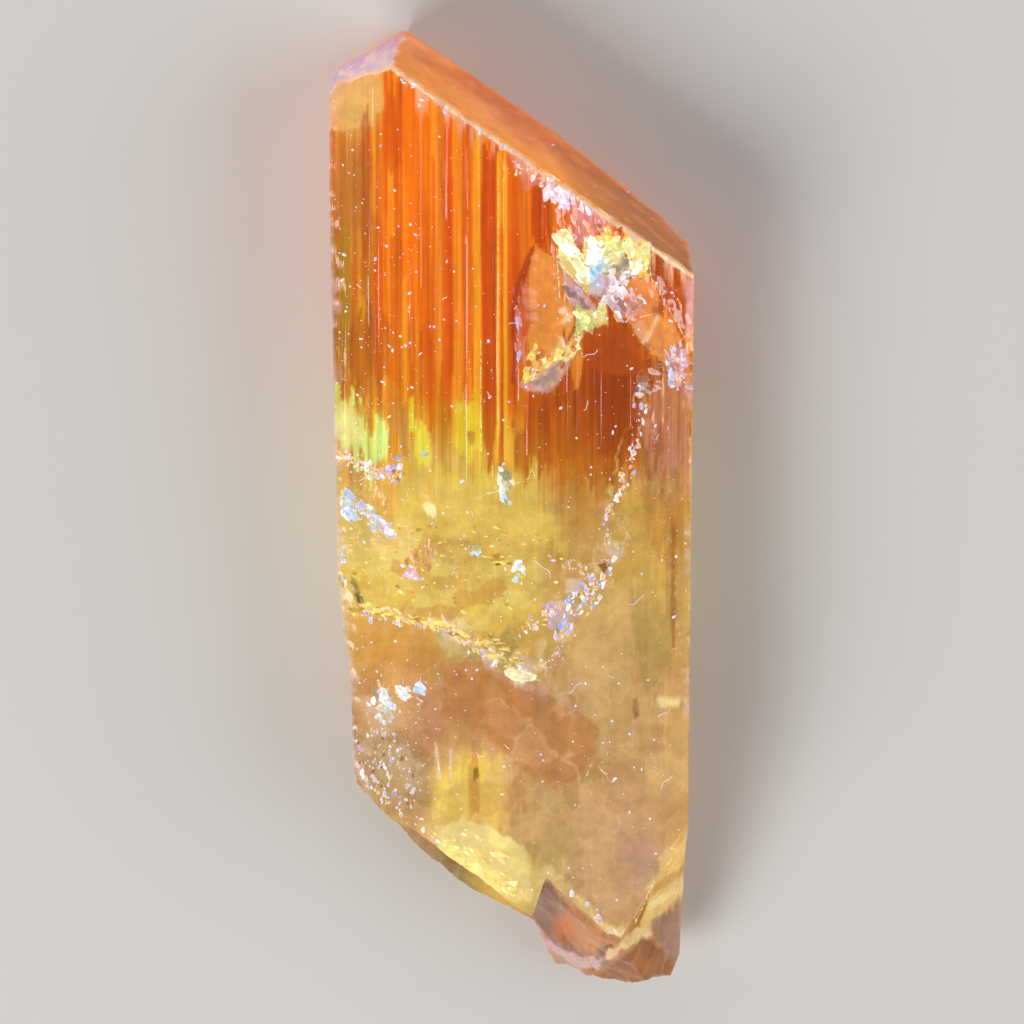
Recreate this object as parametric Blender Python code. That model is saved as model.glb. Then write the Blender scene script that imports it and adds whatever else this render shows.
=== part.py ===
"""A kunzite crystal, the clear lilac kind of spodumene, lying on its back.

One natural crystal: a flattened prism striated along its length, closed at the
far end (+Y) by a roof of two unlike faces and broken off at the near end (-Y).
Its broad front face looks up (+Z) and its back rests on the ground (Z = 0).
It is modelled in millimetres, and the finished body is brought to metres at the end.
"""

import math
import random

import bmesh
import bpy
from mathutils import Matrix, Vector, noise

MM = 0.001

# Size of the whole crystal
HALF_WIDTH = 13.75
THICKNESS = 11.0

# The block that it is sliced from, and how far the cutting shapes reach past the crystal
BLOCK_WIDTH = 33.0
BLOCK_LENGTH = 90.0
PAST_SIDE = 16.0
PAST_END = 54.0
PAST_FACE = 2.0

# Prism faces: where each one starts on the cross-section and how it leans
LEFT_SIDE_LEAN = 0.168
LEFT_SIDE_TAPER = 0.016
RIGHT_SIDE_LEAN = 0.06
RIGHT_SIDE_TAPER = 0.004
BACK_LEFT_START = -7.9
BACK_LEFT_RISE = 1.206
BACK_RIGHT_START = 3.6
BACK_RIGHT_RISE = 0.31
BACK_CORNER_START = 8.9
BACK_CORNER_RISE = 1.0
TAPER_ORIGIN = 36.0

# The roof: each face is y = reach + across * x + up * z
ROOF_LEFT = (39.9, 0.303, 0.024)
ROOF_RIGHT = (31.82, -0.712, -0.073)
CORNER_POINT = (-13.2, 35.6, 11.0)
CORNER_NORMAL = (-0.80, 0.55, 0.20)

# The broken end, made of cleavage planes: y = level + across * x + up * z
SHEET_CORNER = (-32.6, -1.3, -0.12)
SHEET_BREAK = (-27.1, -0.74, -0.12)
SHEET_SIDE = (-34.7, 3.2, 0.0)
LAYER_SIDE = (-33.3, -1.1, 0.0)
LAYER_BREAK = (-31.1, -0.6, 0.0)
LAYER_TOP = (-62.5, 0.0, 6.0)
LAYER_END = (-37.8, 3.2, 0.0)
TIP_LEFT_SIDE = (-27.8, -2.6, 0.0)
TIP_LEFT_FACET = (-35.9, -0.946, 1.1)
TIP_RIGHT_FACET = (-67.7, 1.85, 1.9)
TIP_LOW_FACET = (-36.6, -0.55, 0.9)
TIP_FOOT_FACET = (-41.1, 0.23, 0.35)
TIP_CORNER_FACET = (-78.3, 3.2, 0.4)
TIP_BACK_FACET = (-35.6, 0.0, -0.45)
BREAK_ROUGHNESS = 0.26
BREAK_GRAIN = 2.4
BREAK_COLUMNS = 48
BREAK_ROWS = 22

# Steps of the front face and of the left side, as outlines in x and y
FRONT_STEP = 0.35
FRONT_STEP_EDGE = [
    (-PAST_SIDE, -4.6), (-13.4, -4.6), (-12.1, -5.0), (-8.5, -6.0), (-6.2, -6.2), (-3.8, -7.1),
    (-2.1, -8.8), (-0.9, -9.4), (0.6, -9.9), (2.2, -10.6), (3.2, -9.4), (4.1, -7.4),
    (4.8, -4.2), (5.6, -2.2), (7.5, -0.7), (8.6, 0.5), (7.9, 2.5), (7.3, 4.4),
    (8.2, 7.3), (9.2, 9.7), (9.5, 13.1), (10.5, 14.9), (PAST_SIDE, 15.7),
]
SIDE_PATCH_STEP = 0.62
SIDE_PATCH_EDGE = [
    (PAST_SIDE, 14.9), (12.2, 14.5), (10.6, 13.7), (10.1, 12.2), (10.4, 9.3), (11.0, 6.1),
    (11.5, 3.3), (12.2, -2.0), (12.9, -10.0), (13.9, -15.0),
]
LEFT_SIDE_STEP_EDGE = [
    (-PAST_SIDE, -2.9), (-13.05, -2.9), (-12.7, -7.4), (-12.3, -8.8), (-12.1, -14.9),
    (-11.95, -20.0), (-11.95, -PAST_END), (-PAST_SIDE, -PAST_END),
]

# Spoon-shaped breaks: centre x, centre y, half width, half length, depth, turn in degrees
SPOON_BREAKS = [
    (2.7, 18.6, 1.9, 6.4, 0.55, -3.0),
    (7.0, 21.6, 3.1, 4.0, 0.50, 35.0),
    (11.0, 17.9, 2.0, 4.2, 0.60, 28.0),
]
PITS = [
    (-6.9, 2.4, 1.15, 1.6, 0.40, 0.0),
    (-10.2, -11.9, 0.8, 1.6, 0.35, 8.0),
    (-7.9, -10.9, 1.3, 0.6, 0.30, -12.0),
    (-2.6, -15.9, 0.45, 0.9, 0.30, 0.0),
    (6.0, -3.1, 0.9, 1.1, 0.35, -30.0),
    (-0.5, 4.9, 0.8, 0.9, 0.25, 10.0),
]
SPOON_OVERHANG = 0.8

# Striations
GROOVE_SEED = 41
GROOVE_LANES_UPPER = 30
GROOVE_LANES_LOWER = 22
GROOVE_LANES_BACK = 12
GROOVE_WIDTH = (0.08, 0.38)
GROOVE_DEPTH = (0.08, 0.30)
GROOVE_LENGTH = (6.0, 40.0)
GROOVE_MARGIN = 0.9
GROOVE_SPAN_UPPER = (2.0, 34.0)
GROOVE_SPAN_LOWER = (-24.0, 2.0)
GROOVE_SPAN_BACK = (-12.0, 22.0)
LANE_JITTER = 0.2

# Chips along the edges of the front face: top corner and ridge, right edge, left edge
CHIP_RIDGE_X = -9.0
CHIP_RIGHT_END = (13.4, -26.0)
CHIP_LEFT_START = (-13.75, 33.7)
CHIP_LEFT_END = (-13.1, -2.0)
CHIP_SEED = 7
CHIP_SPACING = 2.2
CHIP_JITTER = 0.12
CHIP_SIZE = (0.22, 0.55)

BODY_COLOUR = (0.86, 0.42, 0.12, 1.0)
BODY_ROUGHNESS = 0.12
BODY_IOR = 1.66
BODY_TRANSMISSION = 0.8


def clear_scene():
    """Remove every object, so the crystal is alone."""
    for item in list(bpy.data.objects):
        bpy.data.objects.remove(item, do_unlink=True)


def new_collection(name):
    collection = bpy.data.collections.new(name)
    bpy.context.scene.collection.children.link(collection)
    return collection


def crystal_material():
    """Clear crystal with an orange body colour."""
    material = bpy.data.materials.new("kunzite")
    material.use_nodes = True
    shader = material.node_tree.nodes["Principled BSDF"]
    shader.inputs["Base Color"].default_value = BODY_COLOUR
    shader.inputs["Roughness"].default_value = BODY_ROUGHNESS
    shader.inputs["Metallic"].default_value = 0.0
    shader.inputs["IOR"].default_value = BODY_IOR
    shader.inputs["Transmission Weight"].default_value = BODY_TRANSMISSION
    return material


def mesh_object(name, bm, collection):
    """Put a bmesh into a new object, with its faces pointing out."""
    bmesh.ops.recalc_face_normals(bm, faces=bm.faces)
    mesh = bpy.data.meshes.new(name)
    bm.to_mesh(mesh)
    bm.free()
    item = bpy.data.objects.new(name, mesh)
    collection.objects.link(item)
    return item


def cutter_object(name, bm, collection):
    item = mesh_object(name, bm, collection)
    item.hide_render = True
    item.display_type = "WIRE"
    return item


def slice_off(bm, point, normal):
    """Cut the body with a plane, keep the side behind it and close the cut with a face."""
    cut = bmesh.ops.bisect_plane(
        bm, geom=bm.verts[:] + bm.edges[:] + bm.faces[:],
        plane_co=Vector(point), plane_no=Vector(normal), clear_outer=True)
    edges = [part for part in cut["geom_cut"] if isinstance(part, bmesh.types.BMEdge)]
    bmesh.ops.contextual_create(bm, geom=edges)


def height(plane, x, z):
    """Where a plane y = level + across * x + up * z passes the point x, z."""
    level, across, up = plane
    return level + across * x + up * z


def prism_body():
    """A block sliced by the faces of the prism and of the roof."""
    bm = bmesh.new()
    bmesh.ops.create_cube(bm, size=1.0)
    bmesh.ops.scale(bm, vec=Vector((BLOCK_WIDTH, BLOCK_LENGTH, THICKNESS)), verts=bm.verts)
    bmesh.ops.translate(bm, vec=Vector((0.0, 0.0, 0.5 * THICKNESS)), verts=bm.verts)

    slice_off(bm, (-HALF_WIDTH, TAPER_ORIGIN, THICKNESS), (-1.0, -LEFT_SIDE_TAPER, -LEFT_SIDE_LEAN))
    slice_off(bm, (HALF_WIDTH, TAPER_ORIGIN, THICKNESS), (1.0, -RIGHT_SIDE_TAPER, -RIGHT_SIDE_LEAN))
    slice_off(bm, (BACK_LEFT_START, 0.0, 0.0), (-BACK_LEFT_RISE, 0.0, -1.0))
    slice_off(bm, (BACK_RIGHT_START, 0.0, 0.0), (BACK_RIGHT_RISE, 0.0, -1.0))
    slice_off(bm, (BACK_CORNER_START, 0.0, 0.0), (BACK_CORNER_RISE, 0.0, -1.0))

    for reach, across, up in (ROOF_LEFT, ROOF_RIGHT):
        slice_off(bm, (0.0, reach, 0.0), (-across, 1.0, -up))
    slice_off(bm, CORNER_POINT, CORNER_NORMAL)
    return bm


def break_height(x, z):
    """Lower end of the crystal at x, z: the lowest of three blocks, each the highest of its planes."""
    sheet = max(height(plane, x, z) for plane in (SHEET_CORNER, SHEET_BREAK, SHEET_SIDE))
    layer = max(height(plane, x, z) for plane in (LAYER_SIDE, LAYER_BREAK, LAYER_TOP, LAYER_END))
    tip = max(
        height(plane, x, z) for plane in (
            TIP_LEFT_SIDE, TIP_LEFT_FACET, TIP_RIGHT_FACET, TIP_LOW_FACET,
            TIP_FOOT_FACET, TIP_CORNER_FACET, TIP_BACK_FACET))
    rough = noise.noise(Vector((x / BREAK_GRAIN, z / BREAK_GRAIN, 0.0)))
    fine = noise.noise(Vector((2.7 * x / BREAK_GRAIN, 2.7 * z / BREAK_GRAIN, 5.0)))
    return min(sheet, layer, tip) + BREAK_ROUGHNESS * (rough + 0.45 * fine)


def break_cutter(collection):
    """Everything beyond the broken end: a grid bent to the break and pushed out to the near side."""
    bm = bmesh.new()
    turn = Matrix.Rotation(math.radians(90.0), 4, "X")
    bmesh.ops.create_grid(
        bm, x_segments=BREAK_COLUMNS, y_segments=BREAK_ROWS, size=1.0, matrix=turn)
    for vert in bm.verts:
        vert.co.x *= PAST_SIDE
        vert.co.z = 0.5 * THICKNESS + (0.5 * THICKNESS + PAST_FACE) * vert.co.z
        vert.co.y = break_height(vert.co.x, vert.co.z)
    outer = bmesh.ops.extrude_face_region(bm, geom=bm.faces[:])
    for part in outer["geom"]:
        if isinstance(part, bmesh.types.BMVert):
            part.co.y = -PAST_END
    return cutter_object("broken_end_cutter", bm, collection)


def outline_cutter(name, outline, low, high, collection):
    """A block with a flat outline, between two heights."""
    curve = bpy.data.curves.new(name, "CURVE")
    curve.dimensions = "2D"
    curve.fill_mode = "BOTH"
    curve.extrude = 0.5 * (high - low)
    spline = curve.splines.new("POLY")
    spline.points.add(len(outline) - 1)
    for point, (x, y) in zip(spline.points, outline):
        point.co = (x, y, 0.0, 1.0)
    spline.use_cyclic_u = True
    drawn = bpy.data.objects.new(name, curve)
    collection.objects.link(drawn)
    bpy.context.view_layer.update()

    evaluated = drawn.evaluated_get(bpy.context.evaluated_depsgraph_get())
    bm = bmesh.new()
    bm.from_mesh(bpy.data.meshes.new_from_object(evaluated))
    bpy.data.objects.remove(drawn, do_unlink=True)
    bmesh.ops.remove_doubles(bm, verts=bm.verts, dist=1e-5)
    bmesh.ops.translate(bm, vec=Vector((0.0, 0.0, 0.5 * (high + low))), verts=bm.verts)
    return cutter_object(name, bm, collection)


def step_cutters(collection):
    """Blocks over the lower levels of the front face, and beside the stepped left side."""
    above = THICKNESS + PAST_FACE
    front = FRONT_STEP_EDGE + [(PAST_SIDE, -PAST_END), (-PAST_SIDE, -PAST_END)]
    yield outline_cutter(
        "front_step_cutter", front, THICKNESS - FRONT_STEP, above, collection)
    yield outline_cutter(
        "side_patch_cutter", SIDE_PATCH_EDGE, THICKNESS - SIDE_PATCH_STEP, above, collection)
    yield outline_cutter(
        "left_side_step_cutter", LEFT_SIDE_STEP_EDGE, -PAST_FACE, above, collection)


def spoon(bm, centre_x, centre_y, half_width, half_length, depth, turn, level):
    """The cap of a flattened ball that dips below a level, for a conchoidal break."""
    spread = 1.0 / math.sqrt(1.0 - SPOON_OVERHANG ** 2)
    ball_height = depth / (1.0 - SPOON_OVERHANG)
    place = (
        Matrix.Translation(Vector((centre_x, centre_y, level + SPOON_OVERHANG * ball_height)))
        @ Matrix.Rotation(math.radians(turn), 4, "Z")
        @ Matrix.Diagonal(Vector((spread * half_width, spread * half_length, ball_height, 1.0))))
    bmesh.ops.create_icosphere(bm, subdivisions=3, radius=1.0, matrix=place)


def spoon_cutters(collection):
    for index, shape in enumerate(SPOON_BREAKS):
        bm = bmesh.new()
        spoon(bm, *shape, THICKNESS)
        yield cutter_object("spoon_cutter_%d" % (index + 1), bm, collection)
    bm = bmesh.new()
    for shape in PITS:
        spoon(bm, *shape, THICKNESS - 0.5 * FRONT_STEP)
    yield cutter_object("pit_cutter", bm, collection)


def groove(bm, centre, width, depth, length):
    """A long spindle with a four-sided section, so its groove runs out at both ends."""
    place = (
        Matrix.Translation(Vector(centre))
        @ Matrix.Diagonal(Vector((width, length, depth, 1.0)))
        @ Matrix.Rotation(math.radians(90.0), 4, "X"))
    bmesh.ops.create_uvsphere(bm, u_segments=4, v_segments=4, radius=1.0, matrix=place)


def groove_lanes(bm, rng, lanes, left, right, span, level):
    """Grooves side by side from left to right, each in a lane of its own."""
    lane = (right - left) / lanes
    for index in range(lanes):
        x = left + lane * (index + 0.5 + rng.uniform(-LANE_JITTER, LANE_JITTER))
        roof = min(height(ROOF_LEFT, x, level), height(ROOF_RIGHT, x, level))
        half_length = 0.5 * rng.uniform(*GROOVE_LENGTH)
        y = min(rng.uniform(*span), roof - 0.9 * half_length)
        half_width = min(rng.uniform(*GROOVE_WIDTH), 0.4 * lane)
        groove(bm, (x, y, level), half_width, rng.uniform(*GROOVE_DEPTH), half_length)


def groove_cutters(collection):
    """Striations of the front face, above and below its step, and of the back."""
    rng = random.Random(GROOVE_SEED)
    edge = HALF_WIDTH - GROOVE_MARGIN
    bm = bmesh.new()
    groove_lanes(bm, rng, GROOVE_LANES_UPPER, -edge, edge, GROOVE_SPAN_UPPER, THICKNESS)
    groove_lanes(bm, rng, GROOVE_LANES_BACK, BACK_LEFT_START + GROOVE_MARGIN,
                 BACK_RIGHT_START - GROOVE_MARGIN, GROOVE_SPAN_BACK, 0.0)
    yield cutter_object("groove_cutter", bm, collection)
    bm = bmesh.new()
    groove_lanes(bm, rng, GROOVE_LANES_LOWER, LEFT_SIDE_STEP_EDGE[1][0] + 2.0 * GROOVE_MARGIN, edge,
                 GROOVE_SPAN_LOWER, THICKNESS - FRONT_STEP)
    yield cutter_object("lower_groove_cutter", bm, collection)


def chip_cutter(collection):
    """Small lumps strung along the edges of the front face, which they nick."""
    rng = random.Random(CHIP_SEED)
    ridge = Vector((CHIP_RIDGE_X, height(ROOF_RIGHT, CHIP_RIDGE_X, THICKNESS), THICKNESS))
    right_corner = Vector((HALF_WIDTH, height(ROOF_RIGHT, HALF_WIDTH, THICKNESS), THICKNESS))
    right_end = Vector((*CHIP_RIGHT_END, THICKNESS))
    left_start = Vector((*CHIP_LEFT_START, THICKNESS))
    left_end = Vector((*CHIP_LEFT_END, THICKNESS))
    bm = bmesh.new()
    for start, end in ((ridge, right_corner), (right_corner, right_end), (left_start, left_end)):
        count = int((end - start).length / CHIP_SPACING)
        for index in range(1, count):
            place = start.lerp(end, (index + rng.uniform(-CHIP_JITTER, CHIP_JITTER)) / count)
            size = rng.uniform(*CHIP_SIZE)
            shape = (
                Matrix.Translation(place)
                @ Matrix.Rotation(rng.uniform(0.0, math.pi), 4, "Z")
                @ Matrix.Diagonal(Vector((1.3 * size, size, 0.7 * size, 1.0))))
            bmesh.ops.create_icosphere(bm, subdivisions=1, radius=1.0, matrix=shape)
    return cutter_object("chip_cutter", bm, collection)


def cut(body, cutter, solver="EXACT"):
    """Take the cutter's shape away from the body."""
    modifier = body.modifiers.new(cutter.name, "BOOLEAN")
    modifier.operation = "DIFFERENCE"
    modifier.solver = solver
    modifier.object = cutter


def to_metres(body):
    """Settle the cuts into the mesh and bring it from millimetres to metres."""
    bpy.context.view_layer.update()
    evaluated = body.evaluated_get(bpy.context.evaluated_depsgraph_get())
    mesh = bpy.data.meshes.new_from_object(evaluated)
    mesh.transform(Matrix.Scale(MM, 4))
    body.modifiers.clear()
    body.data = mesh


def main():
    clear_scene()
    crystal_parts = new_collection("kunzite")
    cutters = new_collection("cutters")

    crystal = mesh_object("kunzite_crystal", prism_body(), crystal_parts)
    crystal.data.materials.append(crystal_material())

    cut(crystal, break_cutter(cutters))
    for cutter in step_cutters(cutters):
        cut(crystal, cutter)
    for cutter in spoon_cutters(cutters):
        cut(crystal, cutter)
    for cutter in groove_cutters(cutters):
        cut(crystal, cutter, "MANIFOLD")
    cut(crystal, chip_cutter(cutters), "MANIFOLD")
    to_metres(crystal)
    for cutter in list(cutters.objects):
        bpy.data.objects.remove(cutter, do_unlink=True)


main()
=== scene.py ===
"""Looks of a kunzite crystal that lies on its back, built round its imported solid.

Lengths inside the shape functions are millimetres in the crystal's own frame: x across, y along, z up.
A finished mesh is brought to metres when it is made. Every random number is a hash of whole numbers, one
of which is a seed, so each run gives the same crystal.
"""

import math

import bpy
import numpy as np
from mathutils import Matrix, Vector


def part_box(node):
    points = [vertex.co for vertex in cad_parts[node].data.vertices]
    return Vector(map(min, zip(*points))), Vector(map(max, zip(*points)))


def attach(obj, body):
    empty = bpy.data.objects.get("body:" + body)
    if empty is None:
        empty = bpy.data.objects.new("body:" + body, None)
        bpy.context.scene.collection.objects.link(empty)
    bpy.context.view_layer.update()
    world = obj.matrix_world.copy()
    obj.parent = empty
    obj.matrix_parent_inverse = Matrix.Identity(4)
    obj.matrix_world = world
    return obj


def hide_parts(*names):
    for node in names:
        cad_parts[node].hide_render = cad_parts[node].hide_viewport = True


bl_info = {
    "name": "Kunzite Crystal",
    "version": (1, 0, 0),
    "blender": (4, 5, 0),
    "location": "View3D > Sidebar > Kunzite",
    "description": "Builds the look of a clear orange kunzite crystal on a pale stage",
    "category": "Object",
}

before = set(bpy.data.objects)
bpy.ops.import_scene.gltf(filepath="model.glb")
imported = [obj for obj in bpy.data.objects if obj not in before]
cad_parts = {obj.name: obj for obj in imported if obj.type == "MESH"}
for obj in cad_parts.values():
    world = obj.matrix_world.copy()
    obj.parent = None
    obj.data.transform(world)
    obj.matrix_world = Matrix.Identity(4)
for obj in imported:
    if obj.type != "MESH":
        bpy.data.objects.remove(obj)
CRYSTAL_NODE = "kunzite_crystal"
CRYSTAL_BODY = "root"
CRYSTAL_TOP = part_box(CRYSTAL_NODE)[1].z
MM = 0.001
CRYSTAL_IOR = 1.66

# Thin streaks along y: noise at this many per metre, on coordinates shortened along y by this much
STREAKS_PER_METRE = 3600.0
STREAK_SHAPE = (1.0, 0.02, 1.0)
BUMP_HEIGHT = 0.0001

# Prism: where each face starts on the cross-section and how it leans
FRONT = round(CRYSTAL_TOP / MM, 2)
CAMERA_TILT = math.radians(17.0)
SIGHT_SLOPE = math.tan(CAMERA_TILT)
LEFT_SIDE = -13.75
LEFT_LEAN = 0.168
LEFT_TAPER = 0.016
RIGHT_SIDE = 13.75
RIGHT_LEAN = 0.06
RIGHT_TAPER = 0.004
TAPER_ORIGIN = 36.0
BACK_LEFT_START = -7.9
BACK_LEFT_RISE = 1.206
BACK_RIGHT_START = 3.6
BACK_RIGHT_RISE = 0.31
BACK_CORNER_START = 8.9
RIDGE_FRONT = -9.01

# The left side steps in below these points, given as y going up and the x of the side there
LEFT_STEP_Y = (-60.0, -20.0, -14.9, -8.8, -7.4, -2.9, -2.5)
LEFT_STEP_X = (-11.95, -11.95, -12.1, -12.3, -12.7, -13.05, -13.6)

# Roof and broken end: planes y = level + across * x + up * z
ROOF_LEFT = (39.9, 0.303, 0.024)
ROOF_RIGHT = (31.82, -0.712, -0.073)
ROOF_CORNER = (58.8, 1.4545, -0.3636)
SHEET_PLANES = ((-32.6, -1.3, -0.12), (-27.1, -0.74, -0.12), (-34.7, 3.2, 0.0))
LAYER_PLANES = ((-33.3, -1.1, 0.0), (-31.1, -0.6, 0.0), (-62.5, 0.0, 6.0), (-37.8, 3.2, 0.0))
TIP_PLANES = (
    (-27.8, -2.6, 0.0), (-35.9, -0.946, 1.1), (-67.7, 1.85, 1.9), (-36.6, -0.55, 0.9),
    (-41.1, 0.23, 0.35), (-78.3, 3.2, 0.4), (-35.6, 0.0, -0.45),
)

# Steps of the front face, as outlines in x and y
FRONT_STEP = 0.35
FRONT_STEP_EDGE = (
    (-20.0, -4.6), (-13.4, -4.6), (-12.1, -5.0), (-8.5, -6.0), (-6.2, -6.2), (-3.8, -7.1),
    (-2.1, -8.8), (-0.9, -9.4), (0.6, -9.9), (2.2, -10.6), (3.2, -9.4), (4.1, -7.4),
    (4.8, -4.2), (5.6, -2.2), (7.5, -0.7), (8.6, 0.5), (7.9, 2.5), (7.3, 4.4),
    (8.2, 7.3), (9.2, 9.7), (9.5, 13.1), (10.5, 14.9), (20.0, 15.7), (20.0, -60.0), (-20.0, -60.0),
)
SIDE_PATCH_STEP = 0.27
SIDE_PATCH_EDGE = (
    (20.0, 14.9), (12.2, 14.5), (10.6, 13.7), (10.1, 12.2), (10.4, 9.3), (11.0, 6.1),
    (11.5, 3.3), (12.2, -2.0), (12.9, -10.0), (13.9, -15.0), (20.0, -15.0),
)

# Spoon-shaped breaks and pits: centre x, centre y, half width, half length, depth, turn in degrees
SPOONS = (
    (2.7, 18.6, 1.9, 6.4, 0.55, -3.0),
    (7.0, 21.6, 3.1, 4.0, 0.50, 35.0),
    (11.0, 17.9, 2.0, 4.2, 0.60, 28.0),
)
PITS = (
    (-6.9, 2.4, 1.15, 1.6, 0.40, 0.0),
    (-10.2, -11.9, 0.8, 1.6, 0.35, 8.0),
    (-7.9, -10.9, 1.3, 0.6, 0.30, -12.0),
    (-2.6, -15.9, 0.45, 0.9, 0.30, 0.0),
    (6.0, -3.1, 0.9, 1.1, 0.35, -30.0),
    (-0.5, 4.9, 0.8, 0.9, 0.25, 10.0),
)

# Flaked areas: size of a flake, its height, seed and the oval where they lie, given as for the spoons
FLAKED_AREAS = (
    (1.7, 0.34, 371, (9.2, 22.0, 4.0, 2.6, -35.0)),
    (0.8, 0.2, 381, (-11.4, 2.6, 2.9, 3.2, -38.0)),
    (0.8, 0.1, 381, (-8.9, -17.6, 3.4, 5.0, 0.0)),
)
ROUGH_AREA = (11.6, 9.6, 2.6, 6.4, 3.0)

# Room that the growth lines swing in, below the level of the front face and of the other faces
FRONT_SKIN = 0.07
SIDE_SKIN = 0.085

# How steeply a flake may lean, as its rise over its own size
FACET_TILT = 1.6

# How finely the body is divided
FRONT_SPANS = (32, 168)
BACK_RIGHT_SPANS = (14, 6, 18, 30)
BACK_LEFT_SPANS = (10, 8)
BODY_ROWS = 268
EDGE_ROWS = 7
EDGE_SHARE = 0.01
ROOF_ROWS = 12
BREAK_ROWS = 50


def unit(value):
    return np.clip(value, 0.0, 1.0)


def smooth(low, high, value):
    """An S-shaped climb from 0 at low to 1 at high."""
    share = unit((value - low) / (high - low))
    return share * share * (3.0 - 2.0 * share)


def mix(first, second, share):
    return first + (second - first) * share


# Multiplier for each new key of the hash, and the shifts and multipliers that stir it
HASH_STEP = np.uint64(0x9E3779B97F4A7C15)
HASH_STIRS = ((30, 0xBF58476D1CE4E5B9), (27, 0x94D049BB133111EB), (31, 1))


def chance(*keys):
    """A steady random number from 0 to 1 for each set of whole-number keys, stirred in one by one."""
    mixed = np.uint64(1)
    with np.errstate(over="ignore"):
        for key in keys:
            mixed = np.asarray(key).astype(np.int64).astype(np.uint64) + mixed * HASH_STEP
            for shift, factor in HASH_STIRS:
                mixed = (mixed ^ (mixed >> np.uint64(shift))) * np.uint64(factor)
    return (mixed >> np.uint64(11)).astype(np.float64) / 2.0 ** 53


def swing(*keys):
    """A steady random number from -0.5 to 0.5."""
    return chance(*keys) - 0.5


def ripple(x, y, seed):
    """Value noise from -1 to 1: random heights at whole-number points, blended smoothly between them."""
    left = np.floor(x)
    low = np.floor(y)
    across = smooth(0.0, 1.0, x - left)
    along = smooth(0.0, 1.0, y - low)
    near = mix(chance(left, low, seed), chance(left + 1, low, seed), across)
    far = mix(chance(left, low + 1, seed), chance(left + 1, low + 1, seed), across)
    return 2.0 * mix(near, far, along) - 1.0


def roughness_of(x, y, grain, seed, octaves=3):
    """Value noise summed over octaves, each half as wide and half as high as the one before."""
    total = np.zeros(np.broadcast(x, y).shape)
    for octave in range(octaves):
        scale = 2.0 ** octave / grain
        total = total + ripple(x * scale, y * scale, seed + octave) / 2.0 ** octave
    return total


def lanes(x, y, width, length, seed):
    """Random levels from -1 to 1 in lanes along y: flat across a lane, with a step now and then along it."""
    warped = x / width + 0.7 * ripple(x / (2.3 * width), np.zeros_like(x), seed)
    lane = np.floor(warped)
    along = y / length + 7.0 * chance(lane, seed + 1)
    stretch = np.floor(along)
    change = smooth(0.86, 1.0, along - stretch)
    level = mix(chance(lane, stretch, seed + 2), chance(lane, stretch + 1, seed + 2), change)
    return 2.0 * level - 1.0


def facets(x, y, size, seed):
    """Flat tilted flakes: each point takes the tilted plane of the nearest of randomly placed centres.

    Returns the plane's height, a random number for the flake and the closeness to its border, all about
    0 to 1.
    """
    left = np.floor(x / size)
    low = np.floor(y / size)
    best = np.full(np.broadcast(x, y).shape, 1e9)
    second = best.copy()
    height = np.zeros_like(best)
    tone = np.zeros_like(best)
    for step_x in (-1, 0, 1):
        for step_y in (-1, 0, 1):
            column = left + step_x
            row = low + step_y
            away_x = x / size - column - 0.15 - 0.7 * chance(column, row, seed)
            away_y = y / size - row - 0.15 - 0.7 * chance(column, row, seed + 1)
            reach = np.hypot(away_x, away_y)
            plane = (
                chance(column, row, seed + 2)
                + FACET_TILT * swing(column, row, seed + 3) * away_x
                + FACET_TILT * swing(column, row, seed + 4) * away_y)
            nearer = reach < best
            second = np.where(nearer, best, np.minimum(second, reach))
            best = np.where(nearer, reach, best)
            height = np.where(nearer, plane, height)
            tone = np.where(nearer, chance(column, row, seed + 5), tone)
    return height, tone, 1.0 - smooth(0.0, 0.16, second - best)


def inside(x, y, outline):
    """Signed distance to a closed outline, positive inside it."""
    nearest = np.full(np.broadcast(x, y).shape, 1e9)
    odd = np.zeros(nearest.shape, dtype=bool)
    for (x0, y0), (x1, y1) in zip(outline, outline[1:] + outline[:1]):
        run_x = x1 - x0
        run_y = y1 - y0
        share = unit(((x - x0) * run_x + (y - y0) * run_y) / (run_x * run_x + run_y * run_y))
        nearest = np.minimum(nearest, np.hypot(x - x0 - share * run_x, y - y0 - share * run_y))
        if run_y != 0.0:
            crosses = ((y0 > y) != (y1 > y)) & (x < x0 + (y - y0) * run_x / run_y)
            odd = odd ^ crosses
    return np.where(odd, nearest, -nearest)


def oval(x, y, centre_x, centre_y, half_width, half_length, turn=0.0):
    """1 at the centre of a turned ellipse, 0 on its rim and negative outside."""
    angle = math.radians(turn)
    across = (x - centre_x) * math.cos(angle) + (y - centre_y) * math.sin(angle)
    along = (y - centre_y) * math.cos(angle) - (x - centre_x) * math.sin(angle)
    return 1.0 - np.hypot(across / half_width, along / half_length)


def plane_height(plane, x, z):
    """The y of a plane: its level, plus its slope across times x, plus its slope up times z."""
    level, across, up = plane
    return level + across * x + up * z


def highest(planes, x, z):
    """The highest of several planes at x, z."""
    tops = [plane_height(plane, x, z) for plane in planes]
    return np.max(np.stack(np.broadcast_arrays(*tops)), axis=0)


def roof_height(x, z):
    """Upper end of the crystal: the lowest of the two roof faces and the small corner bevel."""
    left = plane_height(ROOF_LEFT, x, z) + 0.02 * ripple(x / 0.9, z / 0.7, 301)
    right = plane_height(ROOF_RIGHT, x, z) + 0.03 * ripple(x / 2.2, z / 1.7, 302)
    return np.minimum(np.minimum(left, right), plane_height(ROOF_CORNER, x, z))


def front_top(x):
    """The y where the front face meets the roof."""
    return np.minimum(plane_height(ROOF_LEFT, x, FRONT), plane_height(ROOF_RIGHT, x, FRONT))


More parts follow.
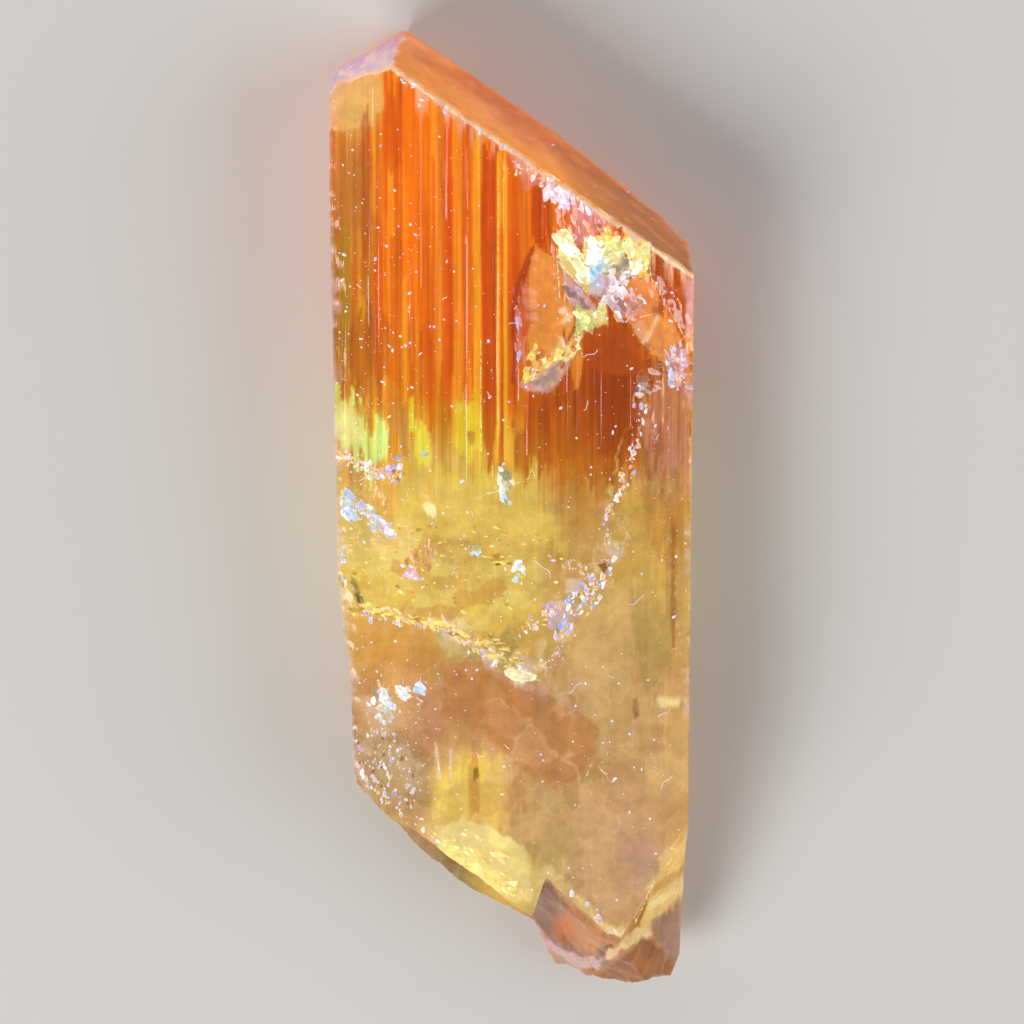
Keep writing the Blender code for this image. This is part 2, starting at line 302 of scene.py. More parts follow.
def break_height(x, z):
    """Broken end: the lowest of three blocks, each the highest of its cleavage planes, roughened."""
    sheet = highest(SHEET_PLANES, x, z)
    layer = highest(LAYER_PLANES, x, z)
    tip = highest(TIP_PLANES, x, z)
    flakes, _, _ = facets(x, z, 1.9, 311)
    rough = 0.24 * roughness_of(x, z, 2.4, 312, 4) + 0.22 * (flakes - 0.5)
    return np.minimum(np.minimum(sheet, layer), tip) + rough


def left_plane(y, z):
    """The x of the left side's plane: it leans in below the front and tapers towards the break."""
    return LEFT_SIDE + LEFT_TAPER * (TAPER_ORIGIN - y) + LEFT_LEAN * (FRONT - z)


def left_step(y):
    """The x of the steps of the left side: straight lines from corner to corner."""
    return np.interp(y, LEFT_STEP_Y, LEFT_STEP_X)


def left_side(y, z):
    """The x of the left side: its leaning plane, or the step that cuts in from it."""
    return np.maximum(left_plane(y, z), left_step(y))


def right_side(y, z):
    """The x of the right side: a plane that leans in and tapers, less than the left one."""
    return RIGHT_SIDE - RIGHT_TAPER * (TAPER_ORIGIN - y) - RIGHT_LEAN * (FRONT - z)


def step_distance(x, y):
    """Distance past the ragged edge of the front step, positive on the lower level."""
    ragged = 0.42 * roughness_of(x, y, 1.5, 321, 3) + 0.16 * ripple(x / 0.3, y / 0.5, 325)
    return inside(x, y, FRONT_STEP_EDGE) + ragged


def patch_distance(x, y):
    """Distance past the edge of the split strip on the right, positive on it."""
    return inside(x, y, SIDE_PATCH_EDGE) + 0.25 * roughness_of(x, y, 0.9, 331, 3)


def nicks(distance, along, size, depth, seed):
    """Scalloped chips along an edge: in each cell a scoop whose depth falls off from the edge inwards."""
    found = np.zeros(np.broadcast(distance, along).shape)
    cell = np.floor(along / size)
    for step in (-1, 0, 1):
        chip = cell + step
        middle = chip + 0.5 + 0.6 * swing(chip, seed)
        half = 0.25 + 0.65 * chance(chip, seed + 1) ** 2
        scoop = 1.0 - ((along / size - middle) / half) ** 2 - (distance / (size * half)) ** 2
        found = np.maximum(found, unit(scoop) * depth * (0.3 + 0.7 * chance(chip, seed + 2)))
    return found


def striae(x, y):
    """Growth lines of the front face: three widths of lanes, stronger towards the top."""
    upper = smooth(-2.0, 9.0, y)
    wide = lanes(x, y, 1.15, 22.0, 341)
    middle = lanes(x, y, 0.52, 15.0, 345)
    narrow = lanes(x, y, 0.27, 9.0, 349)
    return (0.05 * wide + 0.024 * middle + 0.012 * narrow) * (0.3 + 0.7 * upper)


def spoon_depth(x, y, shape):
    """A bowl under an oval rim, with shell-like ripples round its upper end."""
    centre_x, centre_y, half_width, half_length, depth, turn = shape
    bowl = oval(x, y, centre_x, centre_y, half_width, half_length, turn)
    ragged = bowl + 0.12 * roughness_of(x, y, 1.1, 351, 2)
    rings = 0.05 * np.sin(7.0 * np.hypot(x - centre_x, y - centre_y - 0.8 * half_length))
    return np.where(ragged > 0.0, depth * unit(1.6 * ragged) ** 0.6 * (1.0 + rings), 0.0)


def front_relief(x, y):
    """Depth of the front face below its level: steps, growth lines, flakes, breaks, pits and nicks."""
    step = step_distance(x, y)
    depth = FRONT_STEP * smooth(-0.08, 0.14, step)
    depth = depth + SIDE_PATCH_STEP * smooth(-0.08, 0.14, patch_distance(x, y)) * smooth(-16.0, 0.0, y)
    depth = depth + FRONT_SKIN + striae(x, y)
    along_step = unit(1.0 - np.abs(step + 0.2) / 1.1) * smooth(6.0, 2.0, y)
    depth = depth + 0.16 * facets(x, y, 1.05, 361)[0] * along_step
    for size, height, seed, area in FLAKED_AREAS:
        depth = depth + height * facets(x, y, size, seed)[0] * unit(2.0 * oval(x, y, *area))
    for shape in SPOONS + PITS:
        depth = np.maximum(depth, spoon_depth(x, y, shape) + 0.4 * depth)
    rough = unit(4.0 * oval(x, y, *ROUGH_AREA))
    depth = depth + 0.05 * rough * (1.0 + roughness_of(x, y * 0.6, 0.5, 391, 3))
    depth = np.maximum(depth, roof_nicks(x, front_top(x) - y))
    depth = depth + nicks(RIGHT_SIDE - x, y, 1.3, 0.22, 401)
    return depth + nicks(x - left_side(y, FRONT), y, 1.5, 0.22, 405)


def roof_nicks(x, distance):
    """Chips along the edge between the front face and the roof, largest in its middle stretch."""
    size = 0.22 + 0.42 * np.exp(-((x - 4.6) / 3.4) ** 2)
    small = nicks(distance / 0.8, x, 0.55, 1.0, 411)
    large = nicks(distance / 1.7, x, 1.35, 1.0, 415)
    return size * (0.12 * smooth(0.35, 0.0, distance) + 0.5 * small + 0.75 * large)


def section_columns():
    """The stations round the cross-section: which face each is on, and its share of the way along it."""
    spans = FRONT_SPANS + BACK_RIGHT_SPANS + BACK_LEFT_SPANS
    face = np.concatenate([np.full(count, index) for index, count in enumerate(spans)])
    share = np.concatenate([np.arange(count) / count for count in spans])
    return face[None, :], share[None, :]


def section(y, face, share, relief):
    """Points of the cross-section at y: front from left to right, then round the back to the left again."""
    left_front = left_side(y, FRONT)
    right_front = right_side(y, FRONT)
    left_top = FRONT - relief(left_front, y)
    right_top = FRONT - relief(right_front, y)
    right_low = (right_side(y, 0.0) - BACK_CORNER_START) / (1.0 - RIGHT_LEAN)
    corner_x = (BACK_CORNER_START - BACK_RIGHT_RISE * BACK_RIGHT_START) / (1.0 - BACK_RIGHT_RISE)
    corner_z = corner_x - BACK_CORNER_START
    plane_low = (BACK_LEFT_START - left_plane(y, 0.0)) / (1.0 / BACK_LEFT_RISE - LEFT_LEAN)
    step_low = BACK_LEFT_RISE * (BACK_LEFT_START - left_step(y))
    left_low = np.minimum(plane_low, step_low)

    right_z = mix(right_top, right_low, share)
    left_z = mix(left_low, left_top, share)
    left_slope_z = mix(0.0, left_low, share)
    choices_x = (
        mix(left_front, RIDGE_FRONT, share),
        mix(RIDGE_FRONT, right_front, share),
        right_side(y, right_z),
        mix(right_side(y, right_low), corner_x, share),
        mix(corner_x, BACK_RIGHT_START, share),
        mix(BACK_RIGHT_START, BACK_LEFT_START, share) + 0.0 * y,
        BACK_LEFT_START - left_slope_z / BACK_LEFT_RISE,
        left_side(y, left_z),
    )
    x = np.choose(face, np.broadcast_arrays(*choices_x))
    front_z = FRONT - relief(x, y)
    choices_z = (
        front_z,
        front_z,
        right_z,
        mix(right_low, corner_z, share),
        mix(corner_z, 0.0, share) + 0.0 * y,
        np.zeros_like(y),
        left_slope_z,
        left_z,
    )
    return x, np.choose(face, np.broadcast_arrays(*choices_z))


# Outward direction of each face of the cross-section, as x and z
FACE_OUT = np.array((
    (0.0, 1.0), (0.0, 1.0), (1.0, -0.06), (0.707, -0.707), (0.296, -0.955), (0.0, -1.0),
    (-0.77, -0.638), (-0.986, -0.165),
))


def side_relief(face, share, y):
    """Low growth lines on the sides and the back, fading out at each face's corners."""
    around = 9.0 * face + 11.0 * share
    lines = 0.05 * lanes(around, y, 1.3, 19.0, 421) + 0.035 * lanes(around, y, 0.6, 12.0, 425)
    fade = smooth(0.0, 0.08, share) * smooth(1.0, 0.92, share)
    return np.where(face > 1, (SIDE_SKIN + lines) * fade, 0.0)


def body_rows():
    """Shares of the way up from the break to the roof, closer together near both ends."""
    low = np.linspace(0.0, EDGE_SHARE, EDGE_ROWS, endpoint=False)
    middle = np.linspace(EDGE_SHARE, 1.0 - EDGE_SHARE, BODY_ROWS - 2 * EDGE_ROWS)
    return np.concatenate([low, middle, 1.0 - low[::-1]])[:, None]


def body_grid():
    """The prism as a grid: stations round the section, carried from the break up to the roof.

    The height of a point and its place in the section depend on each other, so they are settled in turns.
    """
    face, share = section_columns()
    rows = body_rows()
    y = np.zeros((len(rows), face.shape[1])) + 70.0 * (rows - 0.45)
    for _ in range(4):
        x, z = section(y, face, share, lambda across, along: 0.1 + 0.0 * along)
        low = break_height(x, z)
        high = roof_height(x, z)
        high = high - np.where(face < 2, 0.8 * roof_nicks(x, 0.0 * x), 0.0)
        y = low + rows * (high - low)
    x, z = section(y, face, share, front_relief)
    inward = side_relief(face, share, y)
    x = x - inward * FACE_OUT[face, 0]
    z = z - inward * FACE_OUT[face, 1]
    return x, y, np.maximum(z, 0.0)


def cap_partners(ring_size):
    """For each front point of the ring, the point behind that a cap's line runs to.

    The ridge's front point is paired with the corner where the ridge meets the back.
    """
    left_front, right_front = FRONT_SPANS
    left_back, right_back = sum(BACK_LEFT_SPANS), sum(BACK_RIGHT_SPANS)
    front = np.arange(left_front + right_front + 1)
    left = front * left_back / left_front
    right = left_back + (front - left_front) * right_back / right_front
    return front, (-np.rint(np.where(front < left_front, left, right)).astype(int)) % ring_size


def cap_grid(ring_x, ring_y, ring_z, spans, height_of):
    """A closing face: straight lines from each front point to its partner behind, lifted to a height."""
    front, back = cap_partners(len(ring_x))
    share = (np.linspace(0.0, 1.0, spans + 1) ** 1.25)[1:-1, None]
    x = mix(ring_x[front], ring_x[back], share)
    z = mix(ring_z[front], ring_z[back], share)
    flat = height_of(x, z)
    edge = mix(ring_y[front] - height_of(ring_x[front], ring_z[front]),
               ring_y[back] - height_of(ring_x[back], ring_z[back]), share)
    fade = np.maximum(smooth(0.12, 0.0, share), smooth(0.9, 1.0, share))
    return x, flat + edge * fade, z


def grid_faces(rows, columns, closed):
    """Quads of a grid whose points are numbered row by row, joined round where it is closed."""
    across = np.arange(columns if closed else columns - 1)
    row = np.arange(rows - 1)[:, None]
    first = row * columns + across
    second = row * columns + (across + 1) % columns
    return np.stack([first, second, second + columns, first + columns], axis=-1).reshape(-1, 4)


def cap_faces(ring, inner_start, rows, count):
    """Quads between a ring's front half and its back half, over the inner points of a cap."""
    inner = inner_start + np.arange(rows * count).reshape(rows, count)
    front, back = (ring[part] for part in cap_partners(len(ring)))
    lines = np.concatenate([front[None, :], inner, back[None, :]], axis=0)
    lines[:, 0] = front[0]
    lines[:, -1] = front[-1]
    quads = np.stack([lines[:-1, :-1], lines[:-1, 1:], lines[1:, 1:], lines[1:, :-1]], axis=-1)
    return quads.reshape(-1, 4)


def mesh_object(name, points, faces, sharp=None):
    """An object from points in millimetres and quads. Returns it and the numbers of the points it uses.

    A quad with one doubled corner becomes a triangle, and one with more is left out.
    """
    mesh = bpy.data.meshes.new(name)
    doubled = faces == np.roll(faces, -1, axis=1)
    twins = doubled.sum(axis=1)
    plain = faces[twins == 0]
    once = twins == 1
    triangles = faces[once][~doubled[once]].reshape(-1, 3)
    corners = np.concatenate([plain.ravel(), triangles.ravel()])
    used = np.unique(corners)
    place = np.full(len(points), -1)
    place[used] = np.arange(len(used))
    loops = place[corners]
    sizes = np.repeat((4, 3), (len(plain), len(triangles)))
    mesh.vertices.add(len(used))
    mesh.vertices.foreach_set("co", (np.asarray(points)[used] * MM).astype(np.float32).ravel())
    mesh.loops.add(len(loops))
    mesh.loops.foreach_set("vertex_index", loops.astype(np.int32))
    mesh.polygons.add(len(sizes))
    mesh.polygons.foreach_set("loop_start", (np.cumsum(sizes) - sizes).astype(np.int32))
    mesh.update(calc_edges=True)
    mesh.validate()
    mesh.shade_smooth()
    if sharp is not None:
        mesh.set_sharp_from_angle(angle=math.radians(sharp))
    item = bpy.data.objects.new(name, mesh)
    bpy.context.scene.collection.objects.link(item)
    return item, used


def give_colour(item, name, values):
    """Store one linear colour per point."""
    attribute = item.data.attributes.new(name, "FLOAT_COLOR", "POINT")
    rgba = np.concatenate([values, np.ones((len(values), 1))], axis=1)
    attribute.data.foreach_set("color", rgba.astype(np.float32).ravel())


def give_value(item, name, values):
    """Store one number per point."""
    attribute = item.data.attributes.new(name, "FLOAT", "POINT")
    attribute.data.foreach_set("value", values.astype(np.float32).ravel())


def ink(red, green, blue):
    """A screen colour of 0 to 255 as linear light."""
    screen = np.array((red, green, blue)) / 255.0
    return np.where(screen <= 0.04045, screen / 12.92, ((screen + 0.055) / 1.055) ** 2.4)


# Colours of the crystal, as seen lit
ORANGE = ink(240, 124, 16)
DEEP_ORANGE = ink(214, 88, 2)
BRIGHT_ORANGE = ink(252, 170, 58)
PEACH = ink(234, 172, 118)
AMBER = ink(222, 160, 58)
YELLOW = ink(222, 194, 98)
LEMON = ink(232, 226, 120)
KHAKI = ink(190, 156, 92)
OLIVE = ink(166, 138, 88)
TAN = ink(200, 156, 100)
CREAM = ink(236, 214, 150)
# Painted reflections: the ice, lilac and white tones below stand for bluish light caught by chips, dust and
# edges, and for the white flash of an inner crack
ICE_SHEEN = ink(196, 216, 240)
LILAC_SHEEN = ink(206, 192, 236)
PEARL = ink(244, 238, 240)
REFLECTION_WHITE = ink(255, 254, 248)


# Rim of a painted patch: its softness and raggedness, how far streaks cut into it, all in mm, and the
# share of the streaks that stays inside it
MANNERS = {
    "cloud": (0.75, 0.35, 0.5, 0.6),
    "streaky": (0.16, 0.12, 1.5, 1.0),
    "broken": (0.10, 0.28, 0.15, 0.2),
    "cut": (0.07, 0.04, 0.0, 0.12),
    "band": (0.08, 0.02, 1.0, 0.8),
}

PAINTED = ("colour", "pearl", "streaky")


def pairs(numbers):
    """The points of an outline that is written as x, y, x, y."""
    return tuple(zip(numbers[::2], numbers[1::2]))


class Paint:
    """Colour, pearliness and streakiness of a set of points, laid on in coats.

    Patches are laid along the line of sight, so points below the front face are moved to where they
    are seen.
    """

    def __init__(self, x, y, z):
        self.x = x
        self.y = y
        self.z = z
        self.seen = y + SIGHT_SLOPE * (FRONT - z)
        self.colour = np.zeros(x.shape + (3,))
        self.pearl = np.zeros(x.shape)
        self.streaky = np.zeros(x.shape)

    def coat(self, mask, colour, strength=1.0, pearl=None):
        """Lay a colour over the points by mask times strength, and a pearliness with it."""
        share = unit(mask * strength)
        self.colour = mix(self.colour, colour, share[..., None])
        if pearl is not None:
            self.pearl = mix(self.pearl, pearl, share)

    def mottle(self, level, light, dark, strength, still=0.0):
        """Coat with a light tone where a level is above the still range and with a dark one below it."""
        self.coat(unit(level - still), light, strength)
        self.coat(unit(-level - still), dark, strength)

    def patches(self, shapes, seed):
        """Lay the patches of a table in their order."""
        for number, (manner, colour, strength, pearl, outline) in enumerate(shapes):
            self.patch(manner, ink(*colour), strength, pearl, pairs(outline), seed + 20 * number)

    def patch(self, manner, colour, strength, pearl, outline, seed):
        """Coat the points inside an outline, with a rim in the given manner."""
        soft, ragged, cut, streaks_left = MANNERS[manner]
        reach = soft + 2.0 * ragged
        low = np.min(outline, axis=0) - reach
        high = np.max(outline, axis=0) + reach
        near = (self.x > low[0]) & (self.x < high[0])
        near &= (self.seen > low[1] - 1.6 * cut) & (self.seen < high[1] + 1.6 * cut)
        x = self.x[near]
        y = self.seen[near]
        teeth = lanes(x, 0.0 * y, 0.36, 9.0, seed) + 0.5 * lanes(x, 0.0 * y, 0.17, 9.0, seed + 4)
        distance = inside(x, y + cut * teeth, outline) + ragged * roughness_of(x, y, 0.8, seed + 9, 3)
        share = strength * smooth(-soft, soft, distance)
        self.colour[near] = mix(self.colour[near], colour, share[:, None])
        self.pearl[near] = mix(self.pearl[near], pearl, share)
        self.streaky[near] = self.streaky[near] * mix(1.0, streaks_left, share)


def along_stops(y, stops):
    """A colour that changes along y through named stops, given from the low end up."""
    places = [place for place, _ in stops]
    return np.stack([np.interp(y, places, [tone[k] for _, tone in stops]) for k in range(3)], axis=-1)


MIDDLE_STOPS = (
    (-32.0, TAN), (-22.0, ink(206, 158, 96)), (-14.0, ink(202, 148, 88)), (-10.5, ink(208, 166, 96)),
    (-6.5, YELLOW), (4.5, YELLOW), (7.5, AMBER), (10.5, ink(212, 126, 24)), (17.0, ink(232, 118, 4)),
    (38.0, ink(236, 118, 2)),
)
RIGHT_STOPS = (
    (-32.0, TAN), (-16.0, TAN), (-8.0, ink(196, 164, 104)), (1.0, ink(192, 154, 84)),
    (5.0, ink(178, 112, 40)), (9.0, ink(164, 78, 8)), (17.0, ink(166, 78, 6)), (24.0, ink(200, 110, 40)),
    (38.0, ORANGE),
)
LEFT_STOPS = (
    (-32.0, KHAKI), (-18.0, ink(186, 152, 100)), (-12.0, ink(198, 156, 100)), (-6.0, ink(214, 186, 116)),
    (3.0, ink(218, 196, 116)), (8.0, ink(196, 150, 76)), (14.0, ink(186, 122, 56)),
    (22.0, ink(206, 126, 70)), (30.0, ink(204, 124, 76)), (38.0, PEACH),
)

# Bright and dark bands of the upper front: left, right, top, bottom, screen colour and strength
BANDS = (
    (-5.7, -5.2, 34.6, 11.7, (250, 158, 92), 0.8), (-5.0, -4.4, 34.1, 10.1, (222, 88, 0), 0.85),
    (-4.3, -3.7, 33.6, 8.0, (252, 160, 68), 0.85), (-3.6, -3.0, 33.0, 10.1, (240, 118, 0), 0.7),
    (-2.9, -2.3, 32.6, 6.1, (254, 182, 76), 0.9), (-2.2, -1.1, 31.9, 6.7, (198, 76, 0), 0.85),
    (-1.1, -0.9, 31.1, 6.1, (252, 196, 84), 0.9), (-0.6, -0.3, 30.7, 5.5, (252, 190, 76), 0.9),
    (-0.3, 0.4, 30.3, 8.5, (206, 86, 2), 0.7), (0.6, 1.0, 28.4, 20.4, (236, 120, 70), 0.6),
    (1.5, 2.9, 29.5, 23.3, (188, 74, 0), 0.85), (-8.3, -8.1, 36.8, 17.2, (208, 80, 0), 0.7),
    (-8.0, -6.0, 36.1, 17.2, (244, 124, 0), 0.75), (-9.1, -8.3, 25.2, 10.1, (190, 94, 10), 0.7),
    (-8.2, -7.9, 21.2, 10.1, (250, 176, 84), 0.6),
)

# Painted patches: manner, screen colour, strength, pearliness and outline as x, y, x, y
PATCHES = (
    # Upper left
    ("cut", (236, 176, 120), 0.95, 0.1, (-13.6, 36.6, -12.2, 37.1, -10.4, 37.3, -9.5, 37.3, -9.5, 34.2,
        -10.1, 33.8, -10.3, 32.9, -11.4, 32.7, -12.6, 32.4, -13.6, 32.6)),
    ("streaky", (206, 130, 96), 0.55, 0.0, (-13.6, 32.2, -10.6, 32.7, -10.4, 26.6, -12.1, 25.5,
        -13.6, 26.1)),
    ("streaky", (176, 92, 48), 0.7, 0.0, (-11.2, 31.5, -10.7, 33.3, -10.4, 31.5, -10.5, 23.6, -11.1, 20.4,
        -11.4, 24.4)),
    ("streaky", (210, 92, 0), 0.75, 0.0, (-9.5, 37.3, -8.2, 37.1, -8.2, 31.5, -8.8, 30.0, -9.4, 32.3)),
    ("streaky", (176, 140, 64), 0.75, 0.0, (-13.5, 24.7, -12.3, 25.0, -12.0, 22.6, -12.1, 18.2, -12.7, 13.9,
        -13.5, 14.9)),
    ("streaky", (168, 86, 38), 0.65, 0.0, (-12.3, 17.2, -10.3, 19.1, -9.1, 17.2, -9.2, 13.4, -10.6, 11.7,
        -12.1, 12.6)),
    # Dark right field
    ("streaky", (170, 78, 4), 0.75, 0.0, (4.8, 17.2, 7.2, 17.6, 9.8, 16.4, 9.8, 13.3, 9.5, 6.1, 7.5, 5.5,
        3.7, 6.1, 0.6, 6.1, 0.0, 8.5, 1.4, 11.7, 4.1, 11.7)),
    ("streaky", (146, 60, 0), 0.8, 0.0, (6.0, 16.3, 7.6, 16.8, 9.5, 15.6, 9.3, 8.5, 7.9, 6.7, 6.4, 9.3)),
    ("streaky", (202, 116, 28), 0.5, 0.0, (2.8, 10.1, 4.1, 11.0, 5.2, 8.5, 4.6, 3.7, 3.1, 4.5)),
    # Stepped layers on the right
    ("streaky", (206, 136, 104), 0.8, 0.15, (9.5, 12.9, 10.8, 13.1, 11.6, 14.1, 13.3, 15.5, 13.5, 6.1,
        12.2, 5.6, 10.5, 6.1, 9.6, 8.5)),
    ("streaky", (168, 84, 40), 0.7, 0.0, (10.7, 7.9, 11.6, 8.2, 11.4, 5.5, 10.8, 5.8)),
    # Lime and yellow on the left
    ("streaky", (208, 250, 160), 0.92, 0.2, (-13.4, 12.1, -12.5, 11.5, -11.0, 10.7, -9.5, 10.5, -9.2, 9.7,
        -9.7, 6.7, -11.0, 6.7, -11.4, 7.3, -13.3, 7.6)),
    ("cloud", (242, 248, 190), 0.9, 0.5, (-13.2, 10.6, -12.4, 11.2, -11.5, 10.2, -11.4, 8.5, -12.3, 8.0,
        -13.0, 8.5)),
    ("band", (150, 120, 40), 0.7, 0.0, (-10.9, 10.6, -10.7, 10.7, -10.6, 6.7, -10.8, 6.4)),
    ("streaky", (198, 130, 66), 0.75, 0.0, (-12.3, 12.9, -10.3, 12.1, -7.9, 11.4, -7.8, 7.7, -9.2, 7.5,
        -9.4, 10.6, -11.1, 10.9)),
    ("streaky", (236, 214, 64), 0.85, 0.0, (-7.8, 10.6, -6.1, 10.9, -6.1, 7.9, -6.9, 7.4, -7.8, 8.0)),
    ("streaky", (240, 206, 56), 0.85, 0.0, (-4.2, 11.4, -2.2, 11.7, -2.2, 7.2, -3.1, 6.7, -4.2, 7.5)),
    ("cut", (196, 116, 40), 0.8, 0.0, (-3.4, 9.1, -2.8, 9.1, -2.8, 8.1, -3.2, 8.0)),
    ("streaky", (232, 172, 88), 0.7, 0.0, (-10.7, 5.3, -8.6, 5.3, -8.5, 2.3, -9.7, 2.0, -10.6, 3.1)),
    # Yellow field
    ("cloud", (242, 214, 104), 0.75, 0.0, (-8.8, 3.9, -3.1, 4.0, 2.2, 3.2, 3.7, 2.1, 3.7, 0.4, -0.9, 0.5,
        -6.2, 0.9, -8.6, 1.5)),
    ("cloud", (234, 206, 96), 0.7, 0.0, (-12.3, -1.0, -8.5, -3.1, -3.9, -4.2, 0.6, -3.6, 2.2, -5.0,
        -0.9, -7.4, -6.2, -6.1, -12.1, -4.7)),
    ("cloud", (238, 214, 110), 0.7, 0.0, (-6.3, 6.1, 0.6, 5.6, 1.4, 4.2, -5.4, 4.0)),
    ("broken", (208, 162, 90), 0.7, 0.1, (-7.7, -0.1, -6.6, 0.3, -6.0, -0.4, -6.0, -2.2, -7.6, -2.2)),
    ("broken", (236, 206, 150), 0.6, 0.4, (-10.3, 1.5, -6.9, 1.2, -7.6, -0.4, -8.2, -2.6, -10.0, -1.0)),
    ("cloud", (218, 160, 84), 0.7, 0.0, (-12.1, -5.2, -9.1, -6.0, -5.7, -6.6, -5.7, -12.2, -8.5, -11.5,
        -12.1, -12.2)),
    ("cut", (132, 112, 40), 0.7, 0.0, (-12.2, -2.3, -11.7, -2.6, -11.1, -4.5, -11.7, -4.5)),
    # Break line in the middle
    ("broken", (212, 196, 140), 0.8, 0.3, (-6.0, -6.3, -2.4, -7.4, -1.9, -9.0, -3.9, -9.0, -5.4, -7.9)),
    ("broken", (176, 158, 84), 0.85, 0.2, (-1.9, -8.2, -1.0, -6.4, 0.5, -6.3, 0.3, -9.6, -0.9, -9.9)),
    ("broken", (244, 232, 190), 0.9, 0.6, (-0.7, -10.1, -0.1, -9.7, 2.0, -10.1, 1.9, -10.7, 0.2, -10.8)),
    ("broken", (216, 164, 150), 0.75, 0.3, (-0.1, -10.9, 2.9, -10.7, 2.9, -12.3, 1.0, -12.5)),
    # Lilac here is a painted bluish reflection on a chip
    ("broken", (208, 186, 226), 0.85, 0.8, (2.3, -4.5, 4.1, -4.2, 5.1, -4.9, 4.8, -6.1, 3.1, -6.4)),
    ("cloud", (216, 184, 122), 0.75, 0.0, (4.6, -3.3, 7.0, -2.6, 9.2, -3.1, 9.2, -11.4, 5.2, -11.5,
        4.1, -8.2)),
    ("streaky", (166, 146, 86), 0.7, 0.0, (9.0, -4.2, 12.1, -3.4, 12.2, -11.4, 10.7, -11.5, 9.3, -9.0)),
    ("streaky", (206, 172, 92), 0.6, 0.0, (7.5, 4.5, 10.5, 5.2, 11.9, 2.1, 11.6, -3.4, 8.2, -2.6)),
    ("streaky", (180, 120, 60), 0.6, 0.0, (9.8, 4.8, 13.1, 5.3, 13.1, -1.0, 11.3, -0.7, 10.1, 1.3)),
    ("band", (146, 88, 28), 0.85, 0.0, (12.1, 2.0, 12.4, 2.1, 12.4, -8.4, 12.1, -7.4)),
    ("cut", (136, 84, 50), 0.8, 0.0, (6.5, -1.5, 7.6, -1.2, 7.0, -2.3)),
    ("cut", (130, 88, 50), 0.8, 0.0, (9.2, -12.1, 9.6, -11.9, 9.8, -13.5, 9.3, -13.8)),
    ("cut", (255, 246, 176), 0.95, 0.3, (11.0, -12.0, 12.8, -11.9, 12.8, -12.7, 11.4, -12.8)),
    # Low field
    ("broken", (200, 130, 74), 0.75, 0.0, (-5.4, -9.3, -3.1, -8.6, -0.9, -9.9, 0.6, -11.4, 2.5, -11.8,
        4.1, -12.6, 6.0, -13.5, 6.8, -14.8, 5.6, -17.6, 3.4, -19.6, 0.6, -17.6, -2.4, -14.2, -5.4, -13.1)),
    ("cloud", (240, 206, 170), 0.7, 0.2, (3.4, -11.6, 4.4, -11.8, 4.4, -12.8, 3.6, -12.9)),
    ("cloud", (214, 148, 112), 0.6, 0.0, (-7.6, -10.9, -5.1, -10.6, -4.8, -14.6, -6.9, -16.3, -7.9, -13.8)),
    ("cloud", (240, 200, 86), 0.9, 0.0, (-6.1, -17.9, -5.0, -17.3, -3.4, -16.2, -0.6, -17.2, -0.5, -22.6,
        -2.5, -23.4, -6.1, -23.0)),
    ("streaky", (250, 216, 96), 0.7, 0.0, (-6.1, -18.8, -3.3, -18.6, -3.1, -22.4, -6.1, -22.6)),
    ("band", (206, 146, 48), 0.75, 0.0, (-3.3, -17.4, -2.5, -17.2, -2.4, -21.6, -3.2, -22.1)),
    ("cut", (116, 92, 24), 0.85, 0.0, (-2.9, -17.6, -2.5, -17.5, -2.4, -18.5, -2.9, -18.7)),
    ("cloud", (232, 204, 108), 0.9, 0.0, (-6.6, -21.9, -3.2, -22.9, 0.6, -24.2, 2.6, -26.4, 2.5, -29.6,
        -1.0, -28.8, -4.2, -26.9, -6.9, -24.6)),
    ("broken", (255, 236, 140), 0.9, 0.2, (-6.0, -22.4, -3.8, -21.7, -1.6, -22.4, 1.1, -24.1, 1.7, -26.5,
        1.5, -28.6, -1.1, -28.0, -3.3, -26.4, -5.4, -24.9)),
    ("streaky", (190, 138, 78), 0.7, 0.0, (-0.3, -18.0, 1.0, -17.7, 1.0, -21.4, -0.2, -21.9)),
    ("cloud", (214, 168, 122), 0.75, 0.0, (5.1, -19.8, 9.8, -18.5, 11.9, -20.1, 11.6, -26.5, 9.8, -30.1,
        7.6, -30.8, 5.2, -27.3)),
    ("cloud", (196, 150, 126), 0.75, 0.0, (8.2, -23.1, 11.0, -23.0, 11.6, -26.2, 9.8, -27.3, 8.4, -25.5)),
    ("cloud", (206, 178, 104), 0.55, 0.0, (0.6, -22.2, 4.6, -21.9, 4.8, -26.0, 2.8, -25.8, 1.3, -24.2)),
    ("broken", (226, 170, 110), 0.7, 0.1, (11.6, -25.0, 13.5, -24.1, 13.5, -30.4, 11.3, -29.7)),
    ("cloud", (178, 140, 88), 0.8, 0.0, (-12.1, -12.2, -9.4, -13.4, -6.2, -16.9, -6.0, -20.1, -8.5, -21.5,
        -11.4, -19.3, -12.1, -15.3)),
    ("cloud", (206, 196, 190), 0.55, 0.4, (-11.4, -11.6, -9.2, -11.4, -8.6, -14.2, -10.6, -15.6)),
    ("cloud", (204, 182, 150), 0.5, 0.2, (-11.9, -15.8, -8.2, -15.4, -6.9, -18.6, -8.3, -21.0,
        -11.4, -18.8)),
    ("cut", (244, 206, 160), 0.7, 0.4, (-5.9, -15.7, -5.6, -15.7, -5.3, -18.6, -5.7, -18.5)),
    ("cut", (244, 206, 160), 0.7, 0.4, (-4.7, -16.1, -4.5, -16.0, -4.5, -18.7, -4.8, -18.5)),
)

